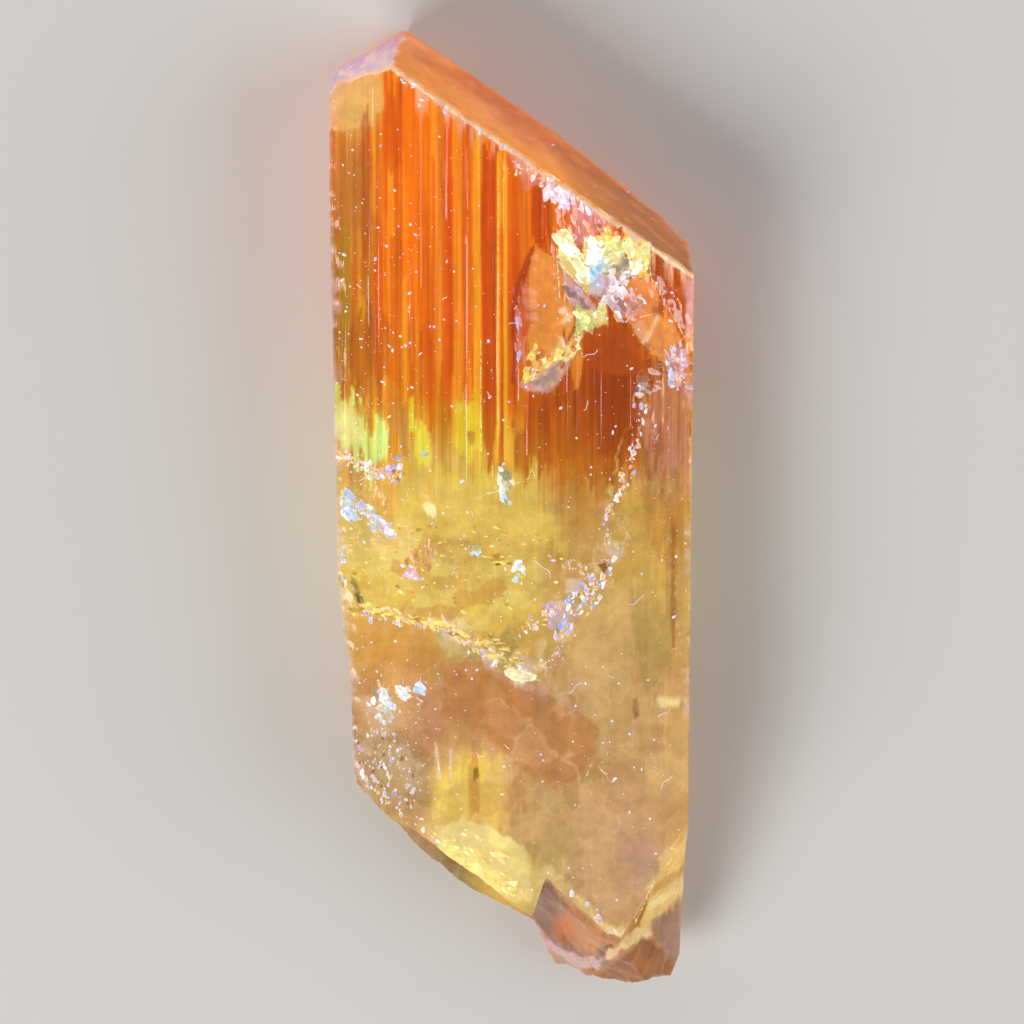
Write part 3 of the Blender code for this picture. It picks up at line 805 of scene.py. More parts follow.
# Patches that go on after the washes
ACCENTS = (
    # Band of painted glow and chips below the roof edge on the right
    ("broken", (232, 150, 128), 0.7, 0.3, (-0.3, 30.9, 1.8, 30.7, 3.7, 28.8, 6.7, 27.1, 9.8, 24.4,
        9.8, 23.4, 6.7, 24.7, 4.1, 26.5, 2.8, 27.9, 1.0, 28.2, 0.0, 29.5)),
    ("broken", (222, 160, 170), 0.75, 0.4, (4.6, 27.1, 6.4, 26.6, 9.0, 24.7, 8.9, 23.6, 6.7, 23.9,
        4.8, 23.8)),
    ("broken", (226, 120, 60), 0.7, 0.1, (6.6, 25.2, 8.1, 25.0, 7.9, 23.9, 6.7, 24.1)),
    ("band", (232, 120, 60), 0.8, 0.0, (4.0, 26.9, 4.8, 26.6, 4.7, 24.7, 4.3, 24.2, 4.1, 25.2)),
    ("broken", (244, 214, 120), 0.8, 0.4, (7.9, 25.5, 10.1, 24.1, 10.2, 23.6, 8.2, 23.6)),
    # Left lobe: a curved fracture whose light peach face is a painted reflection
    ("cut", (238, 168, 78), 0.92, 0.1, (1.9, 23.5, 3.4, 22.6, 3.8, 21.2, 3.8, 19.5, 4.0, 17.6, 3.8, 16.3,
        3.4, 15.6, 2.3, 14.3, 1.6, 14.9, 1.2, 16.3, 1.4, 18.0, 1.3, 20.1, 1.4, 22.2)),
    ("cut", (206, 110, 60), 0.7, 0.1, (1.3, 22.6, 0.6, 20.3, 0.3, 17.9, 0.8, 16.1, 1.2, 16.3, 1.4, 18.2,
        1.3, 20.3)),
    ("broken", (246, 226, 134), 0.85, 0.4, (1.3, 15.5, 2.3, 14.5, 3.4, 15.5, 3.8, 16.4, 4.1, 15.5,
        2.8, 13.9, 1.6, 13.1, 1.3, 14.2)),
    ("cut", (196, 156, 142), 0.9, 0.5, (0.4, 12.8, 1.4, 13.1, 3.1, 14.4, 4.2, 15.3, 4.5, 14.4, 3.5, 12.8,
        2.7, 12.1, 1.1, 12.3)),
    ("cut", (206, 92, 44), 0.6, 0.0, (1.7, 16.0, 2.6, 15.5, 2.5, 14.7, 1.9, 15.2)),
    ("streaky", (214, 150, 170), 0.6, 0.3, (0.2, 19.6, 0.6, 19.6, 0.6, 14.4, 0.3, 13.9)),
    # Flash: a painted reflection of light off an inner crack
    ("cut", (232, 236, 150), 0.95, 0.6, (3.4, 24.5, 3.9, 25.0, 4.7, 24.1, 4.5, 22.6, 5.5, 21.4, 5.9, 19.8,
        3.7, 22.0, 3.5, 23.1)),
    ("cut", (208, 186, 190), 0.9, 0.6, (3.8, 21.8, 5.8, 19.6, 6.9, 18.0, 5.8, 17.9, 4.3, 19.1)),
    ("cut", (206, 228, 240), 0.95, 0.7, (5.7, 22.3, 6.9, 22.2, 7.0, 20.4, 6.6, 19.6, 5.8, 19.8)),
    ("cut", (250, 252, 244), 1.0, 0.9, (5.5, 23.8, 8.2, 23.9, 8.2, 22.6, 7.0, 22.0, 5.7, 22.2)),
    ("cut", (240, 240, 140), 0.95, 0.4, (5.4, 24.3, 8.3, 24.3, 8.3, 23.7, 5.7, 23.6, 5.7, 22.3, 5.4, 22.6)),
    ("cut", (186, 190, 158), 0.85, 0.5, (6.9, 22.0, 8.1, 23.1, 8.6, 22.2, 8.1, 21.2, 7.0, 20.4)),
    ("cut", (196, 164, 170), 0.85, 0.6, (6.7, 19.6, 7.0, 20.6, 8.6, 21.5, 8.9, 21.0, 7.8, 19.9, 7.0, 18.7,
        6.6, 18.0)),
    ("cut", (236, 222, 96), 0.95, 0.3, (8.7, 23.8, 10.3, 23.8, 10.4, 21.2, 9.8, 21.2, 8.9, 21.7)),
    ("cut", (252, 250, 220), 0.95, 0.8, (9.2, 22.6, 10.0, 22.5, 10.0, 21.7, 9.0, 21.8)),
    ("cut", (226, 232, 140), 0.92, 0.5, (4.9, 18.7, 7.0, 18.5, 7.2, 17.6, 5.7, 17.2, 5.1, 16.0, 4.6, 14.9,
        3.8, 14.4, 4.1, 15.6, 4.8, 17.1)),
    ("cut", (242, 240, 180), 0.9, 0.7, (6.0, 18.2, 7.0, 18.3, 7.0, 17.7, 6.1, 17.6)),
    ("cut", (226, 184, 90), 0.8, 0.2, (3.8, 19.6, 4.6, 19.1, 4.8, 17.6, 4.1, 16.3, 3.9, 17.6)),
    # Right lobe: a curved fracture whose light peach face is a painted reflection
    ("cut", (232, 158, 88), 0.92, 0.1, (8.6, 21.0, 9.9, 21.4, 10.6, 20.7, 11.6, 18.8, 13.0, 16.4,
        12.2, 15.6, 11.7, 14.5, 11.0, 14.7, 10.4, 16.1, 9.6, 16.0, 9.0, 17.4, 8.1, 18.3, 7.5, 19.0)),
    ("cut", (214, 156, 150), 0.7, 0.5, (7.3, 19.6, 8.7, 20.3, 9.6, 19.1, 9.3, 17.6, 8.2, 18.2)),
    ("cut", (176, 110, 76), 0.8, 0.1, (10.5, 18.9, 11.1, 18.9, 11.1, 18.3, 10.6, 18.2)),
    ("cut", (238, 200, 140), 0.85, 0.3, (10.9, 18.2, 11.2, 18.0, 10.2, 16.1, 9.7, 16.0)),
    ("cut", (150, 58, 10), 0.8, 0.0, (1.9, 24.2, 1.0, 22.6, 0.2, 20.2, -0.1, 17.9, 0.1, 15.0, -0.1, 13.0,
        0.3, 12.8, 0.5, 15.2, 0.4, 17.9, 0.8, 20.2, 1.5, 22.4)),
    ("cut", (150, 62, 12), 0.8, 0.0, (10.1, 21.7, 11.0, 20.5, 12.1, 18.8, 13.2, 16.7, 13.3, 17.4,
        12.4, 19.3, 11.3, 21.1, 10.5, 22.2)),
    ("streaky", (164, 78, 12), 0.85, 0.0, (10.4, 23.0, 13.0, 21.3, 13.0, 16.6, 11.7, 19.0, 10.7, 20.9)),
    ("cut", (222, 176, 190), 0.75, 0.5, (13.0, 21.2, 13.7, 20.9, 13.6, 16.3, 13.1, 16.6)),
    # Lilac cluster on the right edge: a painted bluish reflection on chips
    ("broken", (206, 190, 240), 0.9, 0.9, (11.9, 15.2, 13.0, 15.6, 13.1, 13.7, 12.5, 12.6, 11.7, 13.6)),
    # Orange tongue and plain dark field below the lobes
    ("cut", (168, 76, 14), 0.75, 0.0, (5.4, 17.0, 7.6, 17.4, 9.4, 16.6, 10.5, 15.0, 10.4, 13.6, 8.2, 13.5,
        6.0, 14.2, 5.4, 15.6)),
    ("cut", (236, 150, 40), 0.9, 0.0, (4.6, 16.6, 5.2, 16.8, 5.4, 15.0, 5.1, 12.6, 4.7, 12.3, 4.5, 14.0)),
    ("cut", (150, 66, 8), 0.7, 0.0, (10.5, 23.2, 13.0, 21.6, 13.0, 20.4, 11.2, 20.6, 10.6, 21.6)),
    # Pale rim along the V of the broken end
    ("broken", (236, 216, 146), 0.85, 0.3, (2.0, -24.9, 2.9, -25.4, 4.5, -27.1, 6.4, -29.5, 8.6, -30.6,
        9.2, -30.0, 9.8, -28.6, 10.8, -26.6, 11.6, -24.4, 13.4, -22.8, 13.6, -23.7, 11.9, -25.2,
        11.1, -27.2, 9.9, -30.6, 8.6, -31.9, 6.6, -31.2, 4.1, -28.6, 2.3, -26.8)),
    ("broken", (250, 238, 214), 0.85, 0.5, (6.6, -30.6, 8.4, -30.9, 9.0, -30.3, 9.3, -30.9, 8.6, -31.7,
        7.2, -31.6)),
)

# Patches of the roof and of the broken end, laid on in the same way
ROOF_PATCHES = (
    ("cloud", (248, 170, 98), 0.8, 0.1, (-8.3, 39.3, -7.7, 40.8, -6.2, 40.3, -4.3, 38.9, -6.0, 38.7,
        -7.7, 38.9)),
    ("cloud", (244, 150, 96), 0.6, 0.0, (-3.1, 34.6, -0.9, 34.1, 4.5, 30.1, 3.7, 28.7, 0.6, 30.7,
        -2.4, 33.0)),
    ("cloud", (176, 104, 40), 0.7, 0.0, (3.7, 30.7, 8.2, 27.9, 13.1, 24.9, 13.6, 21.5, 11.3, 22.6,
        6.7, 26.0, 4.5, 28.4)),
    ("cloud", (250, 176, 110), 0.5, 0.0, (-6.9, 37.1, -3.1, 35.8, 0.6, 33.1, -0.9, 32.7, -4.7, 34.9)),
)
BREAK_PATCHES = (
    # Mauve sheet on the left with a painted orange glow and a pale lower rim
    ("cut", (132, 98, 84), 0.9, 0.1, (1.0, -28.5, 1.6, -26.3, 2.6, -25.9, 3.7, -28.1, 5.4, -30.0,
        7.0, -31.6, 8.1, -32.7, 7.2, -33.9, 5.2, -33.5, 3.3, -32.2, 1.9, -30.4)),
    ("cloud", (206, 138, 84), 0.9, 0.0, (4.8, -29.3, 6.7, -30.9, 8.4, -32.2, 7.9, -33.3, 6.0, -33.0,
        4.6, -31.7)),
    ("cloud", (214, 112, 36), 0.9, 0.0, (3.3, -30.0, 4.5, -29.2, 4.8, -31.2, 3.7, -31.7)),
    ("broken", (216, 184, 196), 0.85, 0.5, (1.4, -29.8, 2.6, -31.9, 5.2, -33.1, 7.2, -33.5, 6.7, -34.1,
        4.5, -33.8, 2.2, -32.5)),
    ("cut", (96, 62, 50), 0.8, 0.0, (6.6, -32.4, 7.6, -31.9, 8.1, -32.6, 7.0, -33.0)),
    # Banded cream shoulder, grey-mauve facet and amber tip on the right
    ("cut", (240, 206, 120), 0.95, 0.2, (9.8, -30.4, 10.9, -26.9, 11.9, -24.5, 13.3, -23.3, 13.9, -23.4,
        13.9, -27.7, 11.9, -29.2, 10.2, -30.8)),
    ("cut", (196, 142, 60), 0.75, 0.0, (11.0, -27.0, 13.3, -25.4, 13.8, -26.0, 10.7, -27.9)),
    ("cut", (252, 236, 176), 0.85, 0.4, (10.5, -28.4, 13.8, -26.8, 13.8, -27.3, 10.4, -29.2)),
    ("cut", (150, 116, 104), 0.9, 0.3, (10.5, -30.1, 11.9, -29.3, 13.9, -28.1, 13.9, -33.8, 12.2, -33.0,
        11.3, -31.7)),
    ("broken", (246, 216, 160), 0.9, 0.2, (7.0, -32.6, 8.6, -31.6, 9.6, -30.4, 10.6, -30.6, 10.9, -31.4,
        9.8, -31.5, 8.4, -32.4, 7.4, -33.6)),
    ("cut", (126, 66, 0), 0.95, 0.0, (10.0, -31.3, 10.9, -31.9, 12.5, -33.3, 12.8, -34.6, 10.5, -35.6,
        8.9, -35.9, 6.9, -34.7, 8.2, -33.3, 9.5, -32.2)),
    ("cloud", (170, 98, 0), 0.6, 0.0, (8.1, -34.0, 9.8, -33.0, 11.6, -33.5, 10.5, -34.6, 9.0, -35.1)),
)

# Colour stops of the roof faces, along x on the right and along z on the left (a painted reflection), and of
# the break along x
ROOF_RIGHT_STOPS = (
    (-9.0, ink(222, 134, 6)), (-4.0, ink(212, 114, 0)), (3.0, ink(200, 104, 0)), (8.0, ink(140, 74, 0)),
    (14.0, ink(108, 58, 0)),
)
ROOF_LEFT_REFLECTION_STOPS = ((0.0, ink(226, 140, 140)), (3.0, ink(190, 170, 240)), (11.0, ink(208, 210, 255)))
BREAK_STOPS = (
    (-12.0, KHAKI), (-7.0, ink(150, 138, 112)), (-3.6, ink(160, 146, 98)), (-1.6, ink(216, 186, 92)),
    (0.8, ink(206, 172, 96)), (1.2, ink(184, 152, 140)), (4.0, ink(180, 126, 84)), (8.0, ink(158, 96, 24)),
    (13.0, ink(180, 130, 80)),
)

# Soft washes: centre, half width, half length and the share of red, green and blue that stays
WASHES = (
    (0.0, 25.0, 26.0, 24.0, (1.0, 1.03, 0.3)),
    (-12.2, 23.0, 2.4, 12.0, (0.72, 0.92, 1.2)),
    (-11.6, 34.8, 2.6, 3.4, (0.9, 1.3, 3.2)),
    (11.8, 9.6, 3.2, 8.0, (0.82, 0.85, 1.6)),
    (5.5, 12.0, 6.5, 6.0, (0.84, 0.72, 0.7)),
    (0.0, -22.0, 20.0, 16.0, (0.96, 1.1, 1.25)),
    (-4.0, 1.0, 11.0, 9.0, (1.0, 1.02, 1.12)),
    (-4.5, 9.0, 6.5, 3.4, (0.95, 1.22, 2.3)),
    (-2.8, -22.0, 5.4, 8.5, (1.2, 1.2, 1.25)),
    (11.0, 26.0, 5.0, 8.0, (0.85, 0.9, 1.2)),
)


# Slabs along the front step, in tones that are partly painted light and shade: the lowest random number that
# picks the tone, the tone and its strength
SLAB_TONES = (
    (0.0, ink(236, 214, 168), 0.75), (0.28, ink(204, 158, 132), 0.6), (0.52, ink(172, 150, 80), 0.6),
    (0.72, ink(226, 216, 226), 0.65),
)
LUMPY_AREA = (-4.6, -3.0, 9.6, 4.6, -8.0)


def growth_tones(upper):
    """Light and dark tone of the growth streaks: cream and olive below, bright and deep orange above."""
    share = upper[..., None]
    return mix(CREAM, BRIGHT_ORANGE, share), mix(OLIVE, DEEP_ORANGE, share)


def paint_zones(paint):
    """Ground colours of the front face: three fields with stops along y, then fine streaks and clouds."""
    x = paint.x
    y = paint.y
    wave = 1.3 * ripple(x / 1.3, 0.0 * x, 501) + 1.2 * lanes(x, 0.0 * y, 0.42, 9.0, 503)
    middle = along_stops(y + wave, MIDDLE_STOPS)
    right = along_stops(y + 1.2 * wave, RIGHT_STOPS)
    left = along_stops(y + wave, LEFT_STOPS)
    right_share = smooth(1.0, 4.0, x + 0.5 * wave)[..., None]
    left_share = smooth(-9.0, -10.2, x + 0.15 * wave)[..., None]
    paint.colour = mix(mix(middle, right, right_share), left, left_share)

    upper = smooth(2.0, 9.0, y + wave)
    paint.streaky = mix(0.16, 1.0, upper)
    streak = 0.7 * lanes(x, y, 0.46, 13.0, 521) + 0.5 * lanes(x, y, 0.24, 8.0, 525)
    paint.mottle(streak, *growth_tones(upper), 0.144 + 0.9 * upper, 0.15)
    cloud = roughness_of(x, y * 0.7, 3.2, 527, 3) * (1.0 - upper)
    paint.mottle(cloud, ink(232, 196, 130), ink(186, 132, 76), 0.35)


def paint_bands(paint):
    """Bands of the upper front: upright stripes with a slanting top and a pointed lower end."""
    for number, (west, east, top, bottom, tone, strength) in enumerate(BANDS):
        lower = mix(bottom, top, 0.12)
        outline = ((west, top), (east, top - 0.7 * (east - west)), (east, lower),
                   (mix(west, east, 0.4), bottom), (west, lower))
        paint.patch("band", ink(*tone), strength, 0.0, outline, 800 + 20 * number)


def paint_washes(paint):
    """Soft ovals that take away or add some of each colour."""
    for centre_x, centre_y, half_width, half_length, kept in WASHES:
        field = oval(paint.x, paint.y, centre_x, centre_y, half_width, half_length)
        paint.colour = paint.colour * mix(1.0, np.array(kept), smooth(0.0, 0.45, field)[..., None])


def paint_step(paint, step):
    """Slabs of broken crystal along the edge of the front step, in a few tones that are partly painted
    shading.
    """
    x = paint.x
    y = paint.y
    near = unit(1.6 - np.abs(step + 0.3) / 0.9) * smooth(5.0, 1.0, y) * smooth(-13.0, -4.0, x)
    slab, slab_tone, slab_edge = facets(x + 0.3 * ripple(x, y, 671), y, 1.25, 673)
    for low, tone, strength in SLAB_TONES:
        chosen = smooth(low, low + 0.04, slab_tone) * smooth(low + 0.2, low + 0.16, slab_tone)
        paint.coat(near * chosen * (0.5 + 0.8 * slab), tone, strength, pearl=0.3)
    # Painted highlight: pale lines on the edges of the slabs
    paint.coat(near * slab_edge, ink(250, 232, 190), 0.35)


def paint_lumps(paint, step):
    """Lumps above the step: amber and lemon, partly painted shading, with pale borders that are painted
    highlights.
    """
    x = paint.x
    y = paint.y
    field = unit(2.2 * oval(x, y, *LUMPY_AREA)) * smooth(0.1, -0.3, step)
    bent_x = x + 0.4 * ripple(x, y, 681)
    _, tone, border = facets(bent_x, 1.3 * y + 0.4 * ripple(x, y, 682), 1.5, 683)
    paint.coat(field * smooth(0.62, 0.9, tone), ink(206, 158, 84), 0.6)
    paint.coat(field * smooth(0.35, 0.1, tone), ink(242, 226, 136), 0.6)
    paint.coat(field * border * smooth(-0.2, 0.3, ripple(x / 0.8, y / 0.8, 684)), ink(248, 232, 150), 0.6)


def paint_web(paint, step):
    """Veils of the low field: large bent cells, some paler and some darker, with faint pale borders."""
    x = paint.x
    y = paint.y
    field = smooth(-8.0, -12.0, y) * smooth(0.0, 0.6, step)
    bent_x = x + 0.5 * roughness_of(x, y, 1.6, 691, 2)
    _, tone, border = facets(bent_x, y + 0.5 * roughness_of(x, y, 1.6, 694, 2), 2.4, 697)
    paint.coat(field * smooth(0.5, 0.9, tone), ink(226, 184, 140), 0.4)
    paint.coat(field * smooth(0.4, 0.1, tone), ink(176, 128, 92), 0.3)
    fading = smooth(0.0, 0.5, ripple(x / 1.4, y / 1.4, 699))
    paint.coat(field * smooth(0.5, 0.9, border) * fading, ink(252, 220, 176), 0.3)


def paint_roof_edge(paint):
    """Edge between front face and roof: pale chips, painted lilac reflection, short drips, painted
    highlight.
    """
    x = paint.x
    y = paint.y
    below = front_top(x) - y
    chipped = roof_nicks(x, below)
    paint.coat(smooth(0.06, 0.24, chipped), ink(250, 214, 190), 0.8, pearl=0.6)
    # Painted reflection: lilac on the frosted chips of the edge
    painted_sheen = smooth(0.2, 0.36, chipped) * smooth(-0.1, 0.5, ripple(x / 0.7, y / 0.7, 617))
    paint.coat(painted_sheen, LILAC_SHEEN, 0.7, pearl=0.9)
    drip = smooth(1.0, 0.35, np.abs(below / (0.5 + 2.2 * chance(np.floor(x / 0.31), 619) ** 3)))
    paint.coat(drip * smooth(-8.4, -7.4, x), ink(250, 196, 160), 0.75, pearl=0.4)
    # Painted highlight: a bright line just below the edge
    line = 0.2 + 0.1 * ripple(x / 0.5, 0.0 * x, 621) + 0.12 * smooth(-2.0, 6.0, x)
    paint.coat(smooth(line + 0.1, line, below), ink(255, 236, 206), 0.9, pearl=0.4)


def paint_side_edges(paint):
    """Long edges of the front face: nicks with a painted lilac reflection and a thin painted highlight rim.
    """
    y = paint.y
    for distance, seed, tone, strength, pearl in (
            (paint.x - left_side(y, FRONT), 405, ink(214, 204, 214), 0.49, 0.5),
            (RIGHT_SIDE - paint.x, 401, ink(236, 206, 170), 0.56, 0.3)):
        # Painted lilac reflection on the nicks, then a thin pale rim as a painted highlight
        nicked = smooth(0.03, 0.16, nicks(distance, y, 1.4, 0.22, seed))
        paint.coat(nicked, ink(222, 206, 222), 0.4, pearl=0.6)
        paint.coat(smooth(0.22, 0.0, distance), tone, strength, pearl=pearl)


def paint_front(paint):
    """The front face, from the ground up: zones, patches, washes, accents, then breaks and edges."""
    paint_zones(paint)
    paint_bands(paint)
    paint.patches(PATCHES, 1300)
    paint_washes(paint)
    paint.patches(ACCENTS, 3000)
    step = step_distance(paint.x, paint.y)
    paint_step(paint, step)
    paint_lumps(paint, step)
    paint_web(paint, step)
    # Painted highlight: a ragged cream line along the edge of the step
    ragged = smooth(-0.5, 0.4, ripple(paint.x / 0.9, paint.y / 0.9, 613))
    paint.coat(unit(1.0 - np.abs(step) / 0.16) * ragged, CREAM, 0.5)
    paint_roof_edge(paint)
    paint_side_edges(paint)


def paint_roof(paint):
    """The two roof faces: lilac as a painted reflection on the left, orange turning brown on the right."""
    x = paint.x
    z = paint.z
    right = along_stops(x, ROOF_RIGHT_STOPS)
    left = along_stops(z, ROOF_LEFT_REFLECTION_STOPS)
    ridge = plane_height(ROOF_LEFT, x, z) - plane_height(ROOF_RIGHT, x, z)
    on_left = 1.0 * (ridge < 0.0)
    on_right = 1.0 - on_left
    paint.colour = mix(right, left, on_left[..., None])
    paint.patches(ROOF_PATCHES, 4000)
    paint.pearl = mix(paint.pearl, 0.7, on_left)
    paint.streaky = np.full(x.shape, 0.1)
    # Painted reflection: pearly streaks on the left roof
    run = 0.6 * lanes(z + 0.2 * x, x, 1.1, 9.0, 631) + 0.4 * lanes(z - 0.1 * x, x, 0.6, 6.0, 633)
    paint.coat(on_left * unit(run), PEARL, 0.56)
    # Painted reflection: pale flakes on the left roof, higher up
    _, painted_sheen, _ = facets(x, 0.35 * z, 0.42, 645)
    paint.coat(on_left * smooth(0.5, 0.7, painted_sheen) * smooth(2.0, 8.0, z), PEARL, 0.9, pearl=1.0)
    cloud = roughness_of(x, z, 3.0, 635, 3)
    paint.coat(on_right * unit(cloud), BRIGHT_ORANGE, 0.45)
    paint.coat(on_right * unit(-cloud), ink(168, 92, 20), 0.5)
    # Painted glow: bright orange on the right roof near the front edge
    paint.coat(on_right * smooth(4.0, 10.5, z) * smooth(10.0, 2.0, x), ink(255, 160, 10), 0.8)
    scratch = lanes(z - 0.5 * x, x + z, 0.35, 5.0, 639)
    paint.coat(on_right * smooth(0.72, 0.95, scratch), ink(250, 196, 120), 0.25)
    # A pale pearly line along the ridge, broken up by noise
    ridge_breakup = smooth(-0.3, 0.4, ripple(x * 3.0, z * 2.6, 637))
    paint.coat(smooth(0.192, 0.036, np.abs(ridge)) * ridge_breakup, PEARL, 0.8, pearl=0.9)
    # Painted highlight: a bright line along the roof's front edge
    below = FRONT - z + 0.3 * ripple(x / 0.7, 0.0 * x, 647)
    paint.coat(smooth(0.9, 0.4, below), ink(255, 226, 180), 0.8, pearl=0.4)


def paint_break(paint):
    """The broken end: olive, mauve and amber facets with creamy rims and a grey-violet back layer."""
    x = paint.x
    z = paint.z
    paint.colour = along_stops(x, BREAK_STOPS)
    cloud = roughness_of(x, z, 2.2, 641, 3)
    paint.mottle(cloud, ink(206, 150, 104), ink(140, 92, 48), 0.5)
    paint.streaky = np.full(x.shape, 0.1)
    paint.patches(BREAK_PATCHES, 5000)
    _, tone, border = facets(x, z, 1.9, 311)
    paint.coat(border * smooth(0.5, 0.9, tone), ink(226, 200, 170), 0.2, pearl=0.2)
    paint.coat(smooth(0.9, 0.1, FRONT - z), ink(240, 212, 136), 0.8, pearl=0.2)
    paint.coat(smooth(1.0, 0.2, z), ink(214, 206, 214), 0.4, pearl=0.4)


def paint_sides(paint, face):
    """Sides and back: the same zones along y as the front, duller and plainer, with a painted highlight at
    the top.
    """
    y = paint.y
    wave = 1.6 * ripple(paint.x / 2.0 + 7.0 * face, paint.z / 2.0, 651)
    paint.colour = along_stops(y + wave, MIDDLE_STOPS) * 0.92
    around = paint.x + 1.3 * paint.z + 9.0 * face
    streak = 0.6 * lanes(around, y, 0.7, 15.0, 655) + 0.4 * lanes(around, y, 0.35, 9.0, 659)
    upper = smooth(3.0, 12.0, y)
    paint.streaky = mix(0.3, 0.9, upper)
    paint.mottle(streak, *growth_tones(upper), 0.6, 0.2)
    cloud = roughness_of(around, y * 0.6, 4.0, 661, 3)
    paint.mottle(cloud, ink(236, 204, 150), ink(176, 116, 62), 0.4)
    # Painted highlight: a pale rim along the top edge of the sides
    paint.coat(smooth(0.4, 0.05, FRONT - paint.z), ink(244, 222, 200), 0.5, pearl=0.3)


def set_inputs(tree, node, inputs):
    """Give each input its plain value, or link it to the socket that its value comes from."""
    for key, value in inputs.items():
        if isinstance(value, bpy.types.NodeSocket):
            tree.links.new(value, node.inputs[key])
        else:
            node.inputs[key].default_value = value


def add_node(tree, kind, place, inputs, **settings):
    """Place a node and return its outputs."""
    node = tree.nodes.new(kind)
    node.location = place
    for key, value in settings.items():
        setattr(node, key, value)
    set_inputs(tree, node, inputs)
    return node.outputs


def math_node(tree, operation, place, *inputs, clamp=False):
    """A Math node whose inputs are sockets or plain numbers."""
    numbered = dict(enumerate(inputs))
    return add_node(tree, "ShaderNodeMath", place, numbered, operation=operation, use_clamp=clamp)["Value"]


def attribute_node(tree, name, place):
    return add_node(tree, "ShaderNodeAttribute", place, {}, attribute_name=name)


def new_material(name):
    material = bpy.data.materials.new(name)
    material.use_nodes = True
    return material, material.node_tree, material.node_tree.nodes["Principled BSDF"]


def clouds_group():
    """Fine clouds for any material: noise on object coordinates, and the gain 1 + depth (noise - 1/2)."""
    tree = bpy.data.node_groups.get("fine_clouds")
    if tree:
        return tree
    tree = bpy.data.node_groups.new("fine_clouds", "ShaderNodeTree")
    inputs = (("Clouds per Metre", 700.0, 1e5), ("Roughness", 0.5, 1.0), ("Depth", 1.0, 10.0))
    for name, start, most in inputs:
        socket = tree.interface.new_socket(name=name, in_out="INPUT", socket_type="NodeSocketFloat")
        socket.default_value = start
        socket.min_value = 0.0
        socket.max_value = most
    for name in ("Cloud", "Gain"):
        tree.interface.new_socket(name=name, in_out="OUTPUT", socket_type="NodeSocketFloat")
    given = add_node(tree, "NodeGroupInput", (-700, 0), {})
    place = add_node(tree, "ShaderNodeTexCoord", (-700, 300), {})["Object"]
    cloud = add_node(tree, "ShaderNodeTexNoise", (-500, 200), {
        "Vector": place, "Scale": given["Clouds per Metre"], "Detail": 3.0, "Roughness": given["Roughness"],
    })["Fac"]
    haze = math_node(tree, "SUBTRACT", (-300, 100), cloud, 0.5)
    gain = math_node(tree, "MULTIPLY_ADD", (-100, 0), haze, given["Depth"], 1.0)
    add_node(tree, "NodeGroupOutput", (100, 100), {"Cloud": cloud, "Gain": gain})
    return tree


def add_clouds(tree, place, inputs):
    return add_node(tree, "ShaderNodeGroup", place, inputs, node_tree=clouds_group())


def scaled_colour(tree, place, colour, gain):
    return add_node(
        tree, "ShaderNodeVectorMath", place, {0: colour, "Scale": gain}, operation="SCALE")["Vector"]


def crystal_material(settings):
    """Clear orange crystal: painted zones with fine streaks and clouds, frosted where it is pearly, with a
    painted glow.

    The streaks are noise stretched along y; clouds stay faint where there are streaks.
    """
    material, tree, shader = new_material("kunzite_crystal_clear")
    colour = attribute_node(tree, "crystal_colour", (-900, 400))["Color"]
    streaky = attribute_node(tree, "streaky", (-900, 0))["Fac"]
    pearl = attribute_node(tree, "pearl", (-900, -200))["Fac"]

    place = add_node(tree, "ShaderNodeTexCoord", (-1640, 600), {})["Object"]
    stretched = add_node(tree, "ShaderNodeVectorMath", (-1460, 600), {
        0: place, 1: STREAK_SHAPE}, operation="MULTIPLY")["Vector"]
    streaks = add_node(tree, "ShaderNodeTexNoise", (-1280, 600), {
        "Vector": stretched, "Scale": STREAKS_PER_METRE, "Detail": 1.0, "Roughness": 0.6})["Fac"]
    centred = math_node(tree, "SUBTRACT", (-1100, 600), streaks, 0.5)
    sharper = math_node(
        tree, "MULTIPLY_ADD", (-900, 600), centred, settings.streak_contrast, 0.5, clamp=True)
    swung = math_node(tree, "SUBTRACT", (-700, 600), sharper, 0.5)
    streak = math_node(tree, "MULTIPLY", (-520, 600), swung, streaky)
    streak_gain = math_node(tree, "MULTIPLY_ADD", (-340, 600), streak, settings.streak_depth, 1.0)

    cloud_depth = math_node(
        tree, "MULTIPLY_ADD", (-700, -400), streaky, -0.7 * settings.cloud_depth, settings.cloud_depth)
    clouds = add_clouds(tree, (-500, -400), {
        "Clouds per Metre": 700.0, "Roughness": 0.7, "Depth": cloud_depth})
    gain = math_node(tree, "MULTIPLY", (-160, 500), streak_gain, clouds["Gain"])
    toned = scaled_colour(tree, (20, 300), colour, gain)
    gloss = add_node(tree, "ShaderNodeMapRange", (20, -300), {
        "Value": clouds["Cloud"], "To Min": 0.04, "To Max": 0.30})["Result"]
    frosted = math_node(tree, "MULTIPLY_ADD", (400, -200), pearl, 0.35, gloss, clamp=True)
    bump = add_node(tree, "ShaderNodeBump", (400, -500), {
        "Strength": 0.35, "Distance": BUMP_HEIGHT, "Height": streak})["Normal"]
    # The painted colour also feeds Emission Color: a painted glow, since the crystal is no lamp
    set_inputs(tree, shader, {
        "Base Color": toned, "Emission Color": toned, "Roughness": frosted, "Normal": bump,
        "Metallic": 0.0, "IOR": settings.ior, "Transmission Weight": settings.clearness,
        "Specular IOR Level": 0.3, "Emission Strength": settings.glow,
    })
    volume = add_node(tree, "ShaderNodeVolumeAbsorption", (0, -700), {
        "Color": (*settings.depth_colour, 1.0), "Density": settings.depth_density})["Volume"]
    set_inputs(tree, tree.nodes["Material Output"], {"Volume": volume})
    return material


